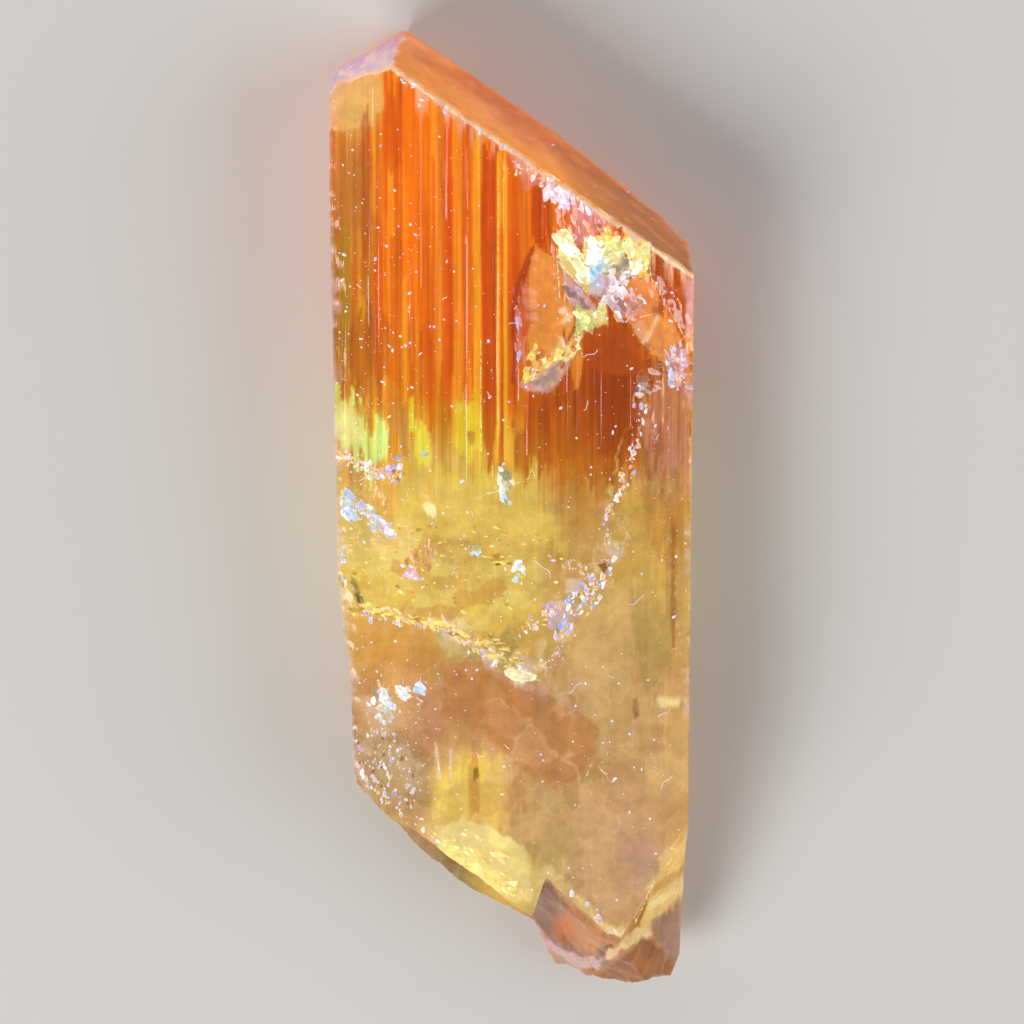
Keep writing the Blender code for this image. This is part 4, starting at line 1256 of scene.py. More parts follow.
def chip_material():
    """Chips, shards and cracks: pale pearly crystal, each in its own colours, with a painted glow."""
    material = bpy.data.materials.get("kunzite_chip")
    if material:
        return material
    material, tree, shader = new_material("kunzite_chip")
    colour = attribute_node(tree, "chip_colour", (-700, 200))["Color"]
    clouds = add_clouds(tree, (-700, -100), {"Clouds per Metre": 2600.0, "Roughness": 0.5, "Depth": 1.1})
    toned = scaled_colour(tree, (-400, 200), colour, clouds["Gain"])
    bump = add_node(tree, "ShaderNodeBump", (-400, -200), {
        "Strength": 0.5, "Distance": BUMP_HEIGHT, "Height": clouds["Cloud"]})["Normal"]
    # Emission here is a painted glow
    set_inputs(tree, shader, {
        "Base Color": toned, "Emission Color": toned, "Normal": bump, "Roughness": 0.22,
        "IOR": CRYSTAL_IOR, "Transmission Weight": 0.2, "Emission Strength": 0.38,
    })
    return material


def dust_material():
    """Pale dust and lint, from a painted lilac reflection to cream, with a painted glow."""
    material = bpy.data.materials.get("kunzite_dust")
    if material:
        return material
    material, tree, shader = new_material("kunzite_dust")
    place = add_node(tree, "ShaderNodeTexCoord", (-900, 0), {})["Object"]
    noise = add_node(tree, "ShaderNodeTexNoise", (-700, 0), {"Vector": place, "Scale": 900.0})["Fac"]
    share = add_node(tree, "ShaderNodeMapRange", (-500, 0), {
        "Value": noise, "From Min": 0.35, "From Max": 0.65})["Result"]
    # A Mix node has its two colours in sockets 6 and 7, and gives their mixture out of socket 2
    tone = add_node(tree, "ShaderNodeMix", (-300, 0), {
        0: share, 6: (*ink(214, 206, 246), 1.0), 7: (*ink(255, 246, 236), 1.0)}, data_type="RGBA")[2]
    # The lilac end of the tone is a painted reflection and the emission a painted glow
    set_inputs(tree, shader, {
        "Base Color": tone, "Emission Color": tone, "Emission Strength": 0.35, "Roughness": 0.55})
    return material


def finish_piece(item, material, replaced=()):
    """Give a piece its material and body, and hide the CAD nodes that it stands for."""
    item.data.materials.append(material)
    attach(item, CRYSTAL_BODY)
    if replaced:
        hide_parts(*replaced)


LENGTH = {"subtype": "DISTANCE", "unit": "LENGTH"}


class CrystalSettings(bpy.types.PropertyGroup):
    """Optical finish of the crystal."""

    clearness: bpy.props.FloatProperty(
        name="Clearness", description="Share of light that passes into the crystal",
        default=0.6, min=0.0, max=1.0, subtype="FACTOR")
    ior: bpy.props.FloatProperty(
        name="Refraction", description="Index of refraction of kunzite",
        default=CRYSTAL_IOR, min=1.0, max=3.0)
    # Strength of the painted glow: the crystal's painted colours sent out as emission
    glow: bpy.props.FloatProperty(
        name="Glow", description="Strength of the light that comes back out of the crystal",
        default=0.30, min=0.0, max=5.0)
    streak_contrast: bpy.props.FloatProperty(
        name="Streak Contrast", description="How sharply the thin streaks show",
        default=1.9, min=0.0, max=10.0)
    streak_depth: bpy.props.FloatProperty(
        name="Streak Depth", description="How far streaks brighten and darken",
        default=0.65, min=0.0, max=2.0)
    cloud_depth: bpy.props.FloatProperty(
        name="Cloud Depth", description="How far fine clouds brighten and darken",
        default=0.9, min=0.0, max=2.0)
    depth_colour: bpy.props.FloatVectorProperty(
        name="Depth Colour", description="Colour that deepens with thickness", subtype="COLOR",
        size=3, default=(0.92, 0.92, 0.45), min=0.0, max=1.0)
    depth_density: bpy.props.FloatProperty(
        name="Depth Density", description="Absorption per metre of crystal",
        default=90.0, min=0.0, max=2000.0)


class DustSettings(bpy.types.PropertyGroup):
    """Dust and lint on the crystal."""

    specks: bpy.props.IntProperty(
        name="Specks", description="Number of dust specks", default=1300, min=0, max=5000)
    crumb_size: bpy.props.FloatProperty(
        name="Crumb Size", description="Half width of an ordinary crumb",
        default=0.00011, min=0.00001, max=0.002, **LENGTH)
    speck_size: bpy.props.FloatProperty(
        name="Speck Size", description="Radius of an ordinary speck",
        default=0.00006, min=0.00001, max=0.001, **LENGTH)
    fibres: bpy.props.IntProperty(
        name="Fibres", description="Number of lint fibres", default=34, min=0, max=500)
    fibre_width: bpy.props.FloatProperty(
        name="Fibre Width", description="Radius of a lint fibre",
        default=0.000025, min=0.00001, max=0.001, **LENGTH)


class StageSettings(bpy.types.PropertyGroup):
    """Floor, light and camera."""

    floor_size: bpy.props.FloatProperty(
        name="Floor Size", description="Width of the floor", default=3.0, min=0.1, max=20.0,
        **LENGTH)
    floor_colour: bpy.props.FloatVectorProperty(
        name="Floor Colour", description="Colour of the plain floor", subtype="COLOR", size=3,
        default=(0.74, 0.73, 0.71), min=0.0, max=1.0)
    tilt: bpy.props.FloatProperty(
        name="Camera Tilt", description="How far the camera leans over the crystal's upper end",
        default=CAMERA_TILT, subtype="ANGLE", unit="ROTATION")
    distance: bpy.props.FloatProperty(
        name="Camera Distance", description="Distance from the camera to the crystal", default=0.7,
        **LENGTH)


def paint_body(x, y, z, face):
    """The front half of every row is painted as the front face and the rest as sides and back."""
    front_count = sum(FRONT_SPANS)
    front = Paint(x[:, :front_count], y[:, :front_count], z[:, :front_count])
    paint_front(front)
    sides = Paint(x[:, front_count:], y[:, front_count:], z[:, front_count:])
    paint_sides(sides, face[:, front_count:])
    whole = Paint(x, y, z)
    for name in PAINTED:
        setattr(whole, name, np.concatenate([getattr(front, name), getattr(sides, name)], axis=1))
    return whole


class KUNZITE_OT_crystal_body(bpy.types.Operator):
    """Build the striated crystal with its roof and its broken end"""

    bl_idname = "kunzite.crystal_body"
    bl_label = "Crystal Body"

    def execute(self, context):
        x, y, z = body_grid()
        face, _ = section_columns()
        rows, columns = x.shape
        body = np.stack([x, y, z], axis=-1).reshape(-1, 3)
        top = cap_grid(x[-1], y[-1], z[-1], ROOF_ROWS, roof_height)
        bottom = cap_grid(x[0], y[0], z[0], BREAK_ROWS, break_height)
        top_points = np.stack(top, axis=-1).reshape(-1, 3)
        bottom_points = np.stack(bottom, axis=-1).reshape(-1, 3)
        points = np.concatenate([body, top_points, bottom_points])

        top_start = len(body)
        bottom_start = top_start + len(top_points)
        count = top[0].shape[1]
        last_ring = (rows - 1) * columns + np.arange(columns)
        faces = np.concatenate([
            grid_faces(rows, columns, True),
            cap_faces(last_ring, top_start, top[0].shape[0], count),
            cap_faces(np.arange(columns), bottom_start, bottom[0].shape[0], count)[:, ::-1],
        ])

        roof = Paint(*top)
        paint_roof(roof)
        broken = Paint(*bottom)
        paint_break(broken)
        painted = (paint_body(x, y, z, face), roof, broken)

        item, used = mesh_object("crystal_body", points, faces, sharp=24.0)
        colours = np.concatenate([part.colour.reshape(-1, 3) for part in painted])
        give_colour(item, "crystal_colour", colours[used])
        for name in PAINTED[1:]:
            values = np.concatenate([getattr(part, name).ravel() for part in painted])
            give_value(item, name, values[used])
        finish_piece(item, crystal_material(context.scene.kunzite_crystal), (CRYSTAL_NODE,))
        return {"FINISHED"}


# Large plates that lie on the front face: screen colour, height and counter-clockwise outline
CHIPS = (
    ((146, 92, 56), 0.1, (7.0, -2.2, 7.6, -1.2, 6.5, -1.5)),
    ((200, 162, 146), 0.2, (1.2, 12.3, 2.7, 12.1, 3.5, 12.8, 4.5, 14.4, 4.2, 15.2, 3.1, 14.3, 1.4, 13.0,
        0.5, 12.7)),
    ((244, 232, 190), 0.2, (0.2, -10.7, 1.7, -10.7, 2.0, -10.3, 1.0, -9.9, 0.0, -9.7, -0.6, -10.2)),
)

# Cracks, raised rims and painted highlight lines on the front face: screen colour, half width, waver and
# path
THREAD_STATIONS = 72
THREADS = (
    ((140, 62, 16), 0.06, 0.03, (8.0, 18.3, 9.2, 17.1, 9.5, 15.9, 10.6, 15.6, 11.0, 14.4, 11.8, 14.3)),
    ((250, 238, 176), 0.06, 0.02, (-2.8, 3.6, -1.9, 4.2, -0.9, 4.4)),
    ((250, 232, 160), 0.06, 0.02, (0.0, 5.0, 1.2, 5.2, 1.5, 6.2, 1.8, 5.6, 1.1, 5.3)),
    # Bright lines along the roof edge: painted highlights
    ((255, 238, 180), 0.05, 0.02, (-8.6, 37.0, -7.2, 35.9, -5.8, 34.9, -4.3, 33.8, -2.8, 32.8, -1.2, 31.7,
        0.2, 30.6)),
    ((255, 230, 190), 0.05, 0.06, (0.4, 30.5, 2.6, 29.2, 4.9, 27.7, 7.5, 25.7, 9.8, 24.1, 13.5, 21.1)),
    # Pale lines along the edge of the front step: painted highlights
    ((242, 222, 170), 0.06, 0.09, (-13.2, -4.6, -12.1, -4.9, -10.6, -5.1, -9.1, -5.8, -7.7, -6.1,
        -5.7, -6.8, -4.1, -7.6, -3.1, -7.6, -2.0, -8.7, -0.9, -9.6)),
    ((242, 222, 180), 0.06, 0.09, (2.2, -9.9, 3.1, -8.6, 4.1, -7.1, 5.2, -6.0, 6.4, -4.2, 7.1, -2.2)),
    ((240, 200, 160), 0.05, 0.09, (6.7, -0.4, 7.1, 0.5, 7.5, 2.1, 8.4, 3.7, 9.0, 5.2, 9.2, 6.7, 8.9, 8.0,
        9.8, 9.3, 9.6, 11.7, 9.5, 12.9, 10.8, 13.1)),
    ((250, 214, 196), 0.06, 0.08, (-13.2, 7.5, -12.1, 7.1, -10.7, 6.3, -9.2, 5.7, -7.9, 5.2)),
    ((244, 220, 200), 0.06, 0.04, (-8.6, -1.4, -8.2, -2.5, -6.9, -2.6, -7.9, -2.2, -8.3, -1.5)),
    ((230, 200, 150), 0.05, 0.05, (-7.7, -2.1, -7.6, -0.4, -6.8, 0.3, -6.0, -0.2, -6.0, -2.1)),
    ((250, 232, 176), 0.09, 0.08, (2.6, -25.8, 5.0, -28.0, 7.0, -30.5, 8.4, -31.3, 9.3, -30.7, 10.0, -28.9,
        11.6, -25.8, 13.4, -23.9)),
    # White lines in the flash: painted reflection along the edges of the inner crack
    ((255, 252, 224), 0.06, 0.01, (3.5, 22.3, 4.7, 20.9, 5.8, 19.7)),
    ((255, 252, 224), 0.06, 0.04, (3.4, 23.8, 3.5, 24.5, 3.8, 24.9, 4.6, 24.0, 4.5, 22.6)),
    ((252, 244, 212), 0.12, 0.06, (-4.1, -7.8, -3.1, -7.5, -2.4, -7.9, -2.1, -8.7)),
    ((252, 244, 212), 0.12, 0.05, (-0.6, -10.1, 0.0, -9.7, 1.1, -9.8, 2.0, -10.3)),
    ((250, 222, 180), 0.05, 0.08, (5.4, -16.0, 6.0, -17.3, 5.6, -19.3, 6.4, -20.1)),
    ((250, 222, 180), 0.04, 0.08, (7.6, -16.1, 6.7, -17.7, 8.4, -20.1, 9.8, -21.1)),
    ((250, 222, 184), 0.07, 0.02, (-5.8, -15.7, -5.4, -18.6)),
    ((250, 222, 184), 0.06, 0.02, (-4.7, -16.1, -4.6, -18.7)),
    ((250, 214, 160), 0.05, 0.02, (9.9, 21.4, 10.7, 20.7, 11.7, 18.7, 13.0, 16.4, 12.2, 15.6)),
    ((253, 250, 240), 0.14, 0.05, (-9.2, -12.2, -8.5, -11.5, -7.6, -11.2, -7.2, -11.9, -6.8, -12.5,
        -7.1, -12.7)),
    ((255, 240, 150), 0.05, 0.01, (-2.3, 17.2, -2.3, 7.5)),
    ((255, 232, 140), 0.04, 0.01, (-1.0, 30.0, -1.0, 8.5)),
    # Pale lines in the flash and round the right lobe: painted reflection along crack edges
    ((250, 240, 150), 0.06, 0.02, (6.0, 18.2, 7.0, 18.3)),
    ((250, 240, 214), 0.05, 0.02, (3.4, 23.4, 3.5, 21.0, 3.6, 19.4)),
    ((250, 236, 220), 0.05, 0.02, (6.5, 18.6, 7.4, 19.6, 8.8, 21.4)),
    ((250, 244, 220), 0.04, 0.02, (7.0, 20.8, 7.8, 22.0, 8.7, 23.2)),
    ((250, 240, 170), 0.05, 0.02, (5.5, 22.2, 5.5, 24.2, 8.3, 24.3)),
    ((250, 232, 190), 0.05, 0.02, (10.4, 23.9, 10.4, 21.2, 9.0, 21.0)),
    ((252, 220, 190), 0.05, 0.02, (9.6, 17.9, 11.0, 18.2, 10.3, 16.2, 9.7, 16.1)),
    ((244, 222, 214), 0.05, 0.03, (0.5, 12.8, 1.6, 13.6, 3.2, 14.6, 4.2, 15.2)),
)

# Crumbs: the tones that they are picked from, then number, spread and path in x and y of each group
# Lilac crumb tones are painted reflections on the crumbs
CRUMB_TONES = (PEARL, LILAC_SHEEN, PEARL, CREAM, ink(250, 210, 190), PEARL, ink(216, 180, 160), ink(220, 210, 242))
CRUMB_PATHS = (
    (90, 0.35, (-8.6, 36.9, -4.3, 33.8, 0.4, 30.5, 2.5, 29.3, 5.0, 27.7, 9.8, 24.1, 13.4, 21.3)),
    (60, 0.9, (0.2, 30.0, 3.0, 28.4, 5.2, 27.0)),
    (120, 0.8, (-13.0, -4.6, -8.5, -5.9, -4.4, -7.0, 0.0, -9.8, 2.8, -9.6, 4.6, -6.0, 6.4, -3.4)),
    (26, 0.5, (6.4, -3.4, 7.8, -1.4, 7.1, 2.3, 8.6, 5.0)),
    (90, 0.9, (4.2, -1.2, 6.2, -2.8, 2.6, -5.4, 0.8, -7.0)),
    (60, 0.8, (-12.6, 7.0, -9.8, 5.4, -8.4, 5.6)),
    (70, 0.8, (-12.8, 3.6, -11.0, 2.6, -9.0, 0.8)),
    (40, 0.6, (11.9, 15.5, 12.9, 14.2, 12.6, 12.6)),
    (60, 0.6, (9.6, 13.0, 9.6, 9.0, 8.6, 5.2, 7.2, 2.6)),
    (36, 1.3, (-11.0, -13.5, -10.0, -17.0, -8.4, -20.5)),
    (40, 0.5, (-12.0, -16.0, -11.0, -19.0, -8.0, -21.8, -4.5, -24.6)),
    (50, 0.7, (2.8, -26.2, 6.0, -29.8, 8.6, -31.2, 10.0, -28.6, 13.0, -24.0)),
    (50, 1.2, (3.8, 24.6, 8.2, 22.4, 9.6, 18.2)),
)

# Fields of tilted shards: number, half width, stretch, turn in degrees, tones and outline as x, y, x, y
SHARD_FIELDS = (
    # Flash, a painted reflection off an inner crack: white core, ice, lime, olive and yellow shards
    (12, 0.42, 1.2, 20.0, (REFLECTION_WHITE, REFLECTION_WHITE, ink(236, 246, 252)), (5.6, 24.1, 7.2, 23.9, 7.3, 22.6, 6.7, 21.8,
        5.6, 21.8)),
    (8, 0.32, 1.6, 0.0, (ink(196, 222, 236), ink(176, 208, 228), PEARL), (5.6, 22.0, 6.6, 22.0, 6.5, 20.4,
        5.8, 20.4)),
    (20, 0.3, 2.2, -55.0, (ink(238, 236, 170), ink(240, 242, 190), CREAM, ink(206, 200, 120)), (7.0, 23.9,
        8.7, 23.9, 8.4, 22.6, 7.2, 22.3)),
    (16, 0.3, 2.4, -45.0, (ink(190, 194, 170), ink(214, 210, 190), ink(172, 158, 124), ink(226, 214, 204)),
        (6.7, 22.5, 8.6, 23.0, 8.4, 21.0, 6.9, 20.9)),
    (30, 0.26, 1.8, 0.0, (ink(240, 240, 190), ink(232, 240, 180), CREAM, ink(220, 200, 120)), (8.6, 24.1,
        10.3, 23.9, 10.3, 21.4, 8.9, 22.0)),
    (8, 0.3, 1.0, 0.0, (REFLECTION_WHITE, ink(252, 250, 220)), (9.0, 22.3, 10.1, 22.4, 10.1, 21.4, 9.1, 21.4)),
    (44, 0.15, 1.4, 20.0, (ink(220, 120, 20), ink(150, 70, 10), ink(240, 190, 80), LEMON), (5.7, 25.1,
        8.4, 25.3, 8.7, 23.9, 5.7, 24.0)),
    (26, 0.28, 2.4, 38.0, (ink(232, 240, 190), ink(240, 240, 200), CREAM, ink(206, 196, 120), REFLECTION_WHITE),
        (3.2, 24.5, 4.5, 24.9, 4.9, 23.2, 5.8, 21.2, 5.5, 20.4, 3.7, 22.6)),
    # Flash, painted reflection: mauve and silver shards below it
    (40, 0.24, 2.2, 40.0, (ink(206, 176, 186), ink(184, 150, 150), PEARL, ink(226, 200, 214),
        ink(160, 122, 114)), (4.0, 20.9, 6.0, 19.9, 7.0, 20.9, 8.9, 20.9, 8.4, 18.8, 6.4, 18.3, 4.6, 19.3)),
    (14, 0.26, 2.6, -45.0, (ink(226, 214, 206), ink(206, 190, 180), PEARL), (6.7, 19.1, 7.0, 19.6,
        8.6, 21.5, 8.7, 21.0, 7.3, 19.0)),
    (28, 0.24, 1.6, 10.0, (ink(212, 220, 146), ink(232, 232, 160), ink(240, 242, 196), ink(190, 186, 110)),
        (4.9, 18.8, 6.9, 18.7, 6.9, 17.6, 6.0, 16.9, 5.3, 16.8, 5.1, 15.5, 4.8, 15.6)),
    (44, 0.18, 2.0, -35.0, (ink(238, 214, 110), ink(236, 228, 150), ink(220, 160, 70), ink(190, 100, 36),
        ink(240, 220, 190)), (1.3, 15.6, 1.7, 16.1, 2.2, 15.2, 3.4, 15.6, 4.8, 15.8, 4.6, 14.7, 3.4, 13.9,
        1.7, 12.9, 1.0, 13.1)),
    (14, 0.12, 3.4, 0.0, (LILAC_SHEEN, ink(226, 160, 150), ink(214, 120, 90)), (0.3, 19.6, 0.7, 19.6, 0.6, 13.7,
        0.3, 13.9)),
    (28, 0.2, 1.6, 30.0, (ink(214, 170, 170), ink(190, 140, 120), PEARL, ink(232, 170, 120)), (7.3, 19.9,
        9.8, 19.6, 9.5, 17.6, 7.9, 17.7)),
    # Right edge: lilac cluster, a painted bluish reflection on chips, and stepped layers
    (34, 0.14, 2.6, 15.0, (ink(214, 204, 228), PEARL, ink(190, 192, 232), ink(218, 186, 206),
        ink(190, 134, 114), ink(200, 140, 120)), (11.9, 16.0, 13.1, 15.6, 13.1, 12.8, 11.6, 12.3,
        11.3, 13.9)),
    (26, 0.24, 2.0, 80.0, (ink(192, 144, 130), ink(216, 172, 160), ink(164, 112, 90), ink(202, 184, 200)),
        (9.5, 14.2, 11.4, 14.4, 13.4, 15.2, 13.4, 11.8, 9.5, 11.8)),
    # Roof edge: frosted chips with a painted lilac reflection, a thin pale rim as a painted highlight, and
    # pink streaks
    (70, 0.19, 2.6, 0.0, (PEARL, ink(220, 208, 236), ink(248, 216, 220), ink(240, 190, 180)), (2.8, 29.3,
        3.8, 28.7, 5.8, 27.1, 6.7, 26.3, 6.1, 26.1, 4.6, 26.6, 3.4, 26.5, 2.6, 27.6)),
    (60, 0.13, 2.0, 50.0, (PEARL, ink(250, 220, 190), ink(220, 206, 230), ink(240, 190, 160)), (6.0, 27.1,
        7.6, 25.8, 9.8, 24.4, 11.3, 23.1, 13.1, 21.7, 13.0, 21.4, 11.0, 22.8, 9.3, 23.9, 7.2, 25.5)),
    (30, 0.14, 4.0, 0.0, (ink(232, 160, 150), ink(240, 180, 160), ink(214, 134, 110)), (3.1, 26.6,
        6.7, 26.5, 8.9, 25.0, 5.7, 24.7, 3.4, 24.7)),
    # Left: shards in ice and lilac, painted bluish reflections
    (24, 0.24, 2.0, 10.0, (ink(206, 220, 236), PEARL, ink(186, 204, 228), ink(206, 206, 190)), (-12.9, 4.2,
        -11.7, 4.0, -11.5, 3.2, -12.0, 2.1, -12.7, 2.5)),
    (44, 0.19, 1.8, 45.0, (ink(206, 196, 226), PEARL, ink(200, 212, 232), ink(226, 200, 186),
        ink(214, 196, 120)), (-11.7, 3.4, -11.1, 3.6, -9.7, 2.3, -8.8, 1.2, -9.5, 0.9, -10.9, 1.7)),
    (34, 0.15, 1.3, 0.0, (ink(196, 180, 216), PEARL, ink(170, 180, 220), ink(220, 170, 150),
        ink(176, 140, 90)), (-9.7, 5.8, -9.2, 7.1, -8.5, 7.2, -7.9, 5.8, -8.3, 5.0, -9.5, 5.0)),
    (24, 0.13, 2.4, 65.0, (ink(240, 206, 170), ink(230, 170, 120), PEARL), (-13.3, 7.5, -12.3, 7.5,
        -9.7, 6.1, -9.8, 5.5, -12.1, 6.7, -13.2, 6.9)),
    (18, 0.18, 2.5, 0.0, (ICE_SHEEN, PEARL, ink(186, 186, 140)), (-13.0, 0.1, -12.5, 0.1, -12.4, -3.0,
        -12.9, -3.0)),
    (14, 0.13, 2.2, 15.0, (ink(130, 114, 50), ink(186, 168, 86), ink(160, 144, 66)), (-12.3, -2.8,
        -11.9, -2.8, -11.1, -4.4, -11.5, -4.5)),
    # Yellow field: shards, lumps and flecks
    (24, 0.24, 2.0, 10.0, (ink(206, 206, 180), ink(230, 230, 210), ink(170, 160, 120), ICE_SHEEN), (-1.2, 6.0,
        -0.7, 6.3, 0.0, 5.5, -0.0, 3.4, -0.6, 3.6, -1.1, 4.4)),
    (6, 0.2, 1.5, -20.0, (ICE_SHEEN, PEARL, ink(200, 200, 150)), (-7.0, 7.8, -6.5, 8.0, -6.4, 7.2, -6.9, 6.8)),
    (18, 0.18, 2.6, 5.0, (ink(214, 170, 100), ink(240, 210, 150), ink(200, 150, 84), ink(214, 180, 160)),
        (-8.1, -0.1, -7.4, 0.4, -6.0, 0.4, -5.4, -1.0, -5.9, -2.0, -7.9, -1.8)),
    (18, 0.18, 1.8, 60.0, (LILAC_SHEEN, PEARL, ink(236, 190, 190)), (-8.3, -1.4, -7.7, -1.5, -6.9, -2.6,
        -7.9, -2.4)),
    (9, 0.24, 1.4, 60.0, (PEARL, ICE_SHEEN, ink(190, 180, 120)), (-3.5, 0.1, -2.5, 0.1, -2.4, -0.6, -3.0, -0.8)),
    (12, 0.24, 1.6, 0.0, (ink(214, 222, 190), PEARL, ICE_SHEEN), (0.1, -1.1, 0.8, -1.0, 1.1, -2.3, 0.3, -2.6)),
    (18, 0.12, 3.0, 78.0, (ink(150, 110, 40), LEMON, ink(190, 150, 60)), (-2.4, -0.5, -0.9, -0.7, 0.0, -1.2,
        -0.3, -1.7, -1.9, -1.0)),
    (110, 0.09, 2.2, 78.0, (LEMON, ink(206, 166, 80), ink(184, 146, 66), ink(244, 226, 140),
        ink(240, 216, 130)), (-12.3, 1.3, -6.9, 2.1, 2.2, 1.3, 5.2, -1.0, 2.2, -7.4, -3.9, -6.6,
        -12.1, -4.2)),
    (120, 0.13, 3.0, 76.0, (ink(236, 214, 120), ink(214, 180, 90), ink(180, 146, 70), CREAM, LEMON,
        ink(226, 186, 110)), (-12.9, -4.2, -8.5, -5.2, -4.7, -6.0, -0.9, -7.4, 1.0, -8.4, 0.8, -9.6,
        -1.5, -9.0, -4.8, -7.1, -8.6, -6.0, -12.7, -5.2)),
    # Step on the right and low left
    (44, 0.16, 2.0, -35.0, (ink(206, 196, 226), PEARL, ink(236, 206, 180), ink(160, 180, 236),
        ink(206, 166, 100)), (3.7, -4.2, 6.0, -2.2, 7.9, -1.0, 7.6, -3.4, 5.2, -6.2, 3.7, -7.4)),
    (24, 0.24, 1.8, 10.0, (ink(214, 218, 222), PEARL, ink(204, 208, 208), ink(206, 190, 160)),
        (-10.6, -11.7, -9.4, -11.4, -8.9, -12.8, -9.5, -14.4, -10.4, -13.8)),
    (14, 0.22, 1.8, 65.0, (PEARL, CREAM, ICE_SHEEN), (-9.1, -11.4, -7.6, -10.9, -6.5, -11.4, -6.9, -12.0,
        -8.6, -12.2)),
    (44, 0.15, 1.4, 0.0, (ink(216, 204, 200), ink(200, 180, 210), ink(150, 112, 74), ink(196, 196, 190)),
        (-12.1, -15.0, -9.1, -14.6, -6.9, -19.3, -7.6, -21.1, -11.7, -18.5)),
    # Low yellow lumps
    (60, 0.15, 2.4, 60.0, (ink(250, 240, 176), ink(250, 236, 160), CREAM, ink(236, 210, 124)), (-6.3, -22.3,
        -5.1, -23.0, -3.5, -22.7, -0.9, -24.1, 1.0, -25.7, 0.8, -27.9, -0.9, -28.1, -4.5, -25.8)),
)


def front_height(x, y):
    """The z of the front face: its level less its relief."""
    return FRONT - front_relief(x, y)


def point_chance(points, seed):
    """A random number for each point of each copy."""
    return chance(*np.ogrid[tuple(slice(count) for count in points.shape[:3])], seed)


def build_copies(name, points, material, colours=None, tone=1.0, flipped=False, sharp=None):
    """One object out of many closed shapes, each a grid of points whose first and last rows are poles."""
    count, rows, columns = points.shape[:3]
    last = (rows - 1) * columns
    faces = grid_faces(rows, columns, True)
    faces = np.where(faces < columns, 0, np.where(faces >= last, last, faces))
    if flipped:
        faces = faces[:, ::-1]
    every = faces + rows * columns * np.arange(count)[:, None, None]
    item, used = mesh_object(name, points.reshape(-1, 3), every.reshape(-1, 4), sharp)
    if colours is not None:
        tones = unit(colours[:, None, None, :] * tone[..., None])
        give_colour(item, "chip_colour", tones.reshape(-1, 3)[used])
    finish_piece(item, material)


def turned(across, along, turn):
    """Offsets in x and y after a turn."""
    return across * np.cos(turn) - along * np.sin(turn), across * np.sin(turn) + along * np.cos(turn)


def even_path(points, count):
    """Points at even steps along a bent line, which is given as x, y, x, y."""
    points = np.array(points).reshape(-1, 2)
    run = np.concatenate([[0.0], np.cumsum(np.hypot(*np.diff(points, axis=0).T))])
    at = np.linspace(0.0, run[-1], count)
    return np.interp(at, run, points[:, 0]), np.interp(at, run, points[:, 1])


# Profile of a plate from its middle out to its rim and down under it: reach, rise and painted shading
PLATE_REACH = np.array((0.0, 0.62, 0.93, 1.0, 1.0, 0.0))
PLATE_RISE = np.array((1.0, 0.96, 0.8, 0.3, -1.0, -1.0))
PLATE_SHADING = np.array((0.62, 0.70, 1.10, 1.15, 0.8, 0.8))


def plate_points(rims, lift, slopes):
    """Thin tilted plates round the middle c of each rim, which is one row of rims.

    At reach s towards rim point r, (x, y) = c + s (r - c) and z = face + lift times rise + tilt.
    """
    middle_x, middle_y = (rim.mean(axis=1)[:, None, None] for rim in rims)
    away_x, away_y = (
        (rim[:, None, :] - middle) * PLATE_REACH[:, None] for rim, middle in zip(rims, (middle_x, middle_y)))
    tilt = slopes[0][:, None, None] * away_x + slopes[1][:, None, None] * away_y
    z = front_height(middle_x, middle_y) + tilt + lift[:, None, None] * PLATE_RISE[:, None]
    return np.stack([middle_x + away_x, middle_y + away_y, z], axis=-1)


def on_front(x, y, margin):
    """True for places on the front face, at least the margin away from its outline."""
    across = (x > left_side(y, FRONT) + margin) & (x < right_side(y, FRONT) - margin)
    return across & (y < front_top(x) - margin) & (y > break_height(x, 0.0 * x + FRONT) + margin)


def build_plates(name, rims, lift, slopes, colours, contrast):
    """Plates in one object, each in its own colour, with painted shading: pale rims as highlights, uneven
    facets.
    """
    points = plate_points(rims, lift, slopes)
    # Painted shading: darker in the middle, pale at the rim, darker underneath, and uneven from point to
    # point
    tone = mix(1.0, PLATE_SHADING[:, None] * (0.55 + 0.9 * point_chance(points, 725)), contrast)
    build_copies(name, points, chip_material(), colours, tone, flipped=True, sharp=30.0)


def scatter(outline, count, seed):
    """Random places inside an outline: drawn from the box round it until enough lie inside."""
    number = np.arange(6 * count)
    low = np.min(outline, axis=0)
    high = np.max(outline, axis=0)
    x = mix(low[0], high[0], chance(number, seed))
    y = mix(low[1], high[1], chance(number, seed + 1))
    kept = np.flatnonzero(inside(x, y, outline) > 0.0)[:count]
    return x[kept], y[kept]


def plate_rims(x, y, size, stretch, turn, seed):
    """Rims of uneven six-sided plates, each stretched along y and then turned."""
    number = np.arange(len(x))[:, None]
    side = np.arange(6)
    angle = math.tau * (side + 0.7 * chance(number, side, seed)) / 6
    reach = size[:, None] * (0.6 + 0.8 * chance(number, side, seed + 1))
    across = reach * np.cos(angle)
    along = reach * np.sin(angle) * stretch[:, None]
    away_x, away_y = turned(across, along, turn[:, None])
    return x[:, None] + away_x, y[:, None] + away_y


def place_chips():
    """The large plates, each from its own outline."""
    rims = np.array([even_path(outline + outline[:2], 23) for _, _, outline in CHIPS])[:, :, :-1]
    number = np.arange(len(CHIPS))
    build_plates(
        "chips", (rims[:, 0], rims[:, 1]), np.array([lift for _, lift, _ in CHIPS]),
        (0.16 * swing(number, 721), 0.16 * swing(number, 722)),
        np.array([ink(*colour) for colour, _, _ in CHIPS]), 0.7)


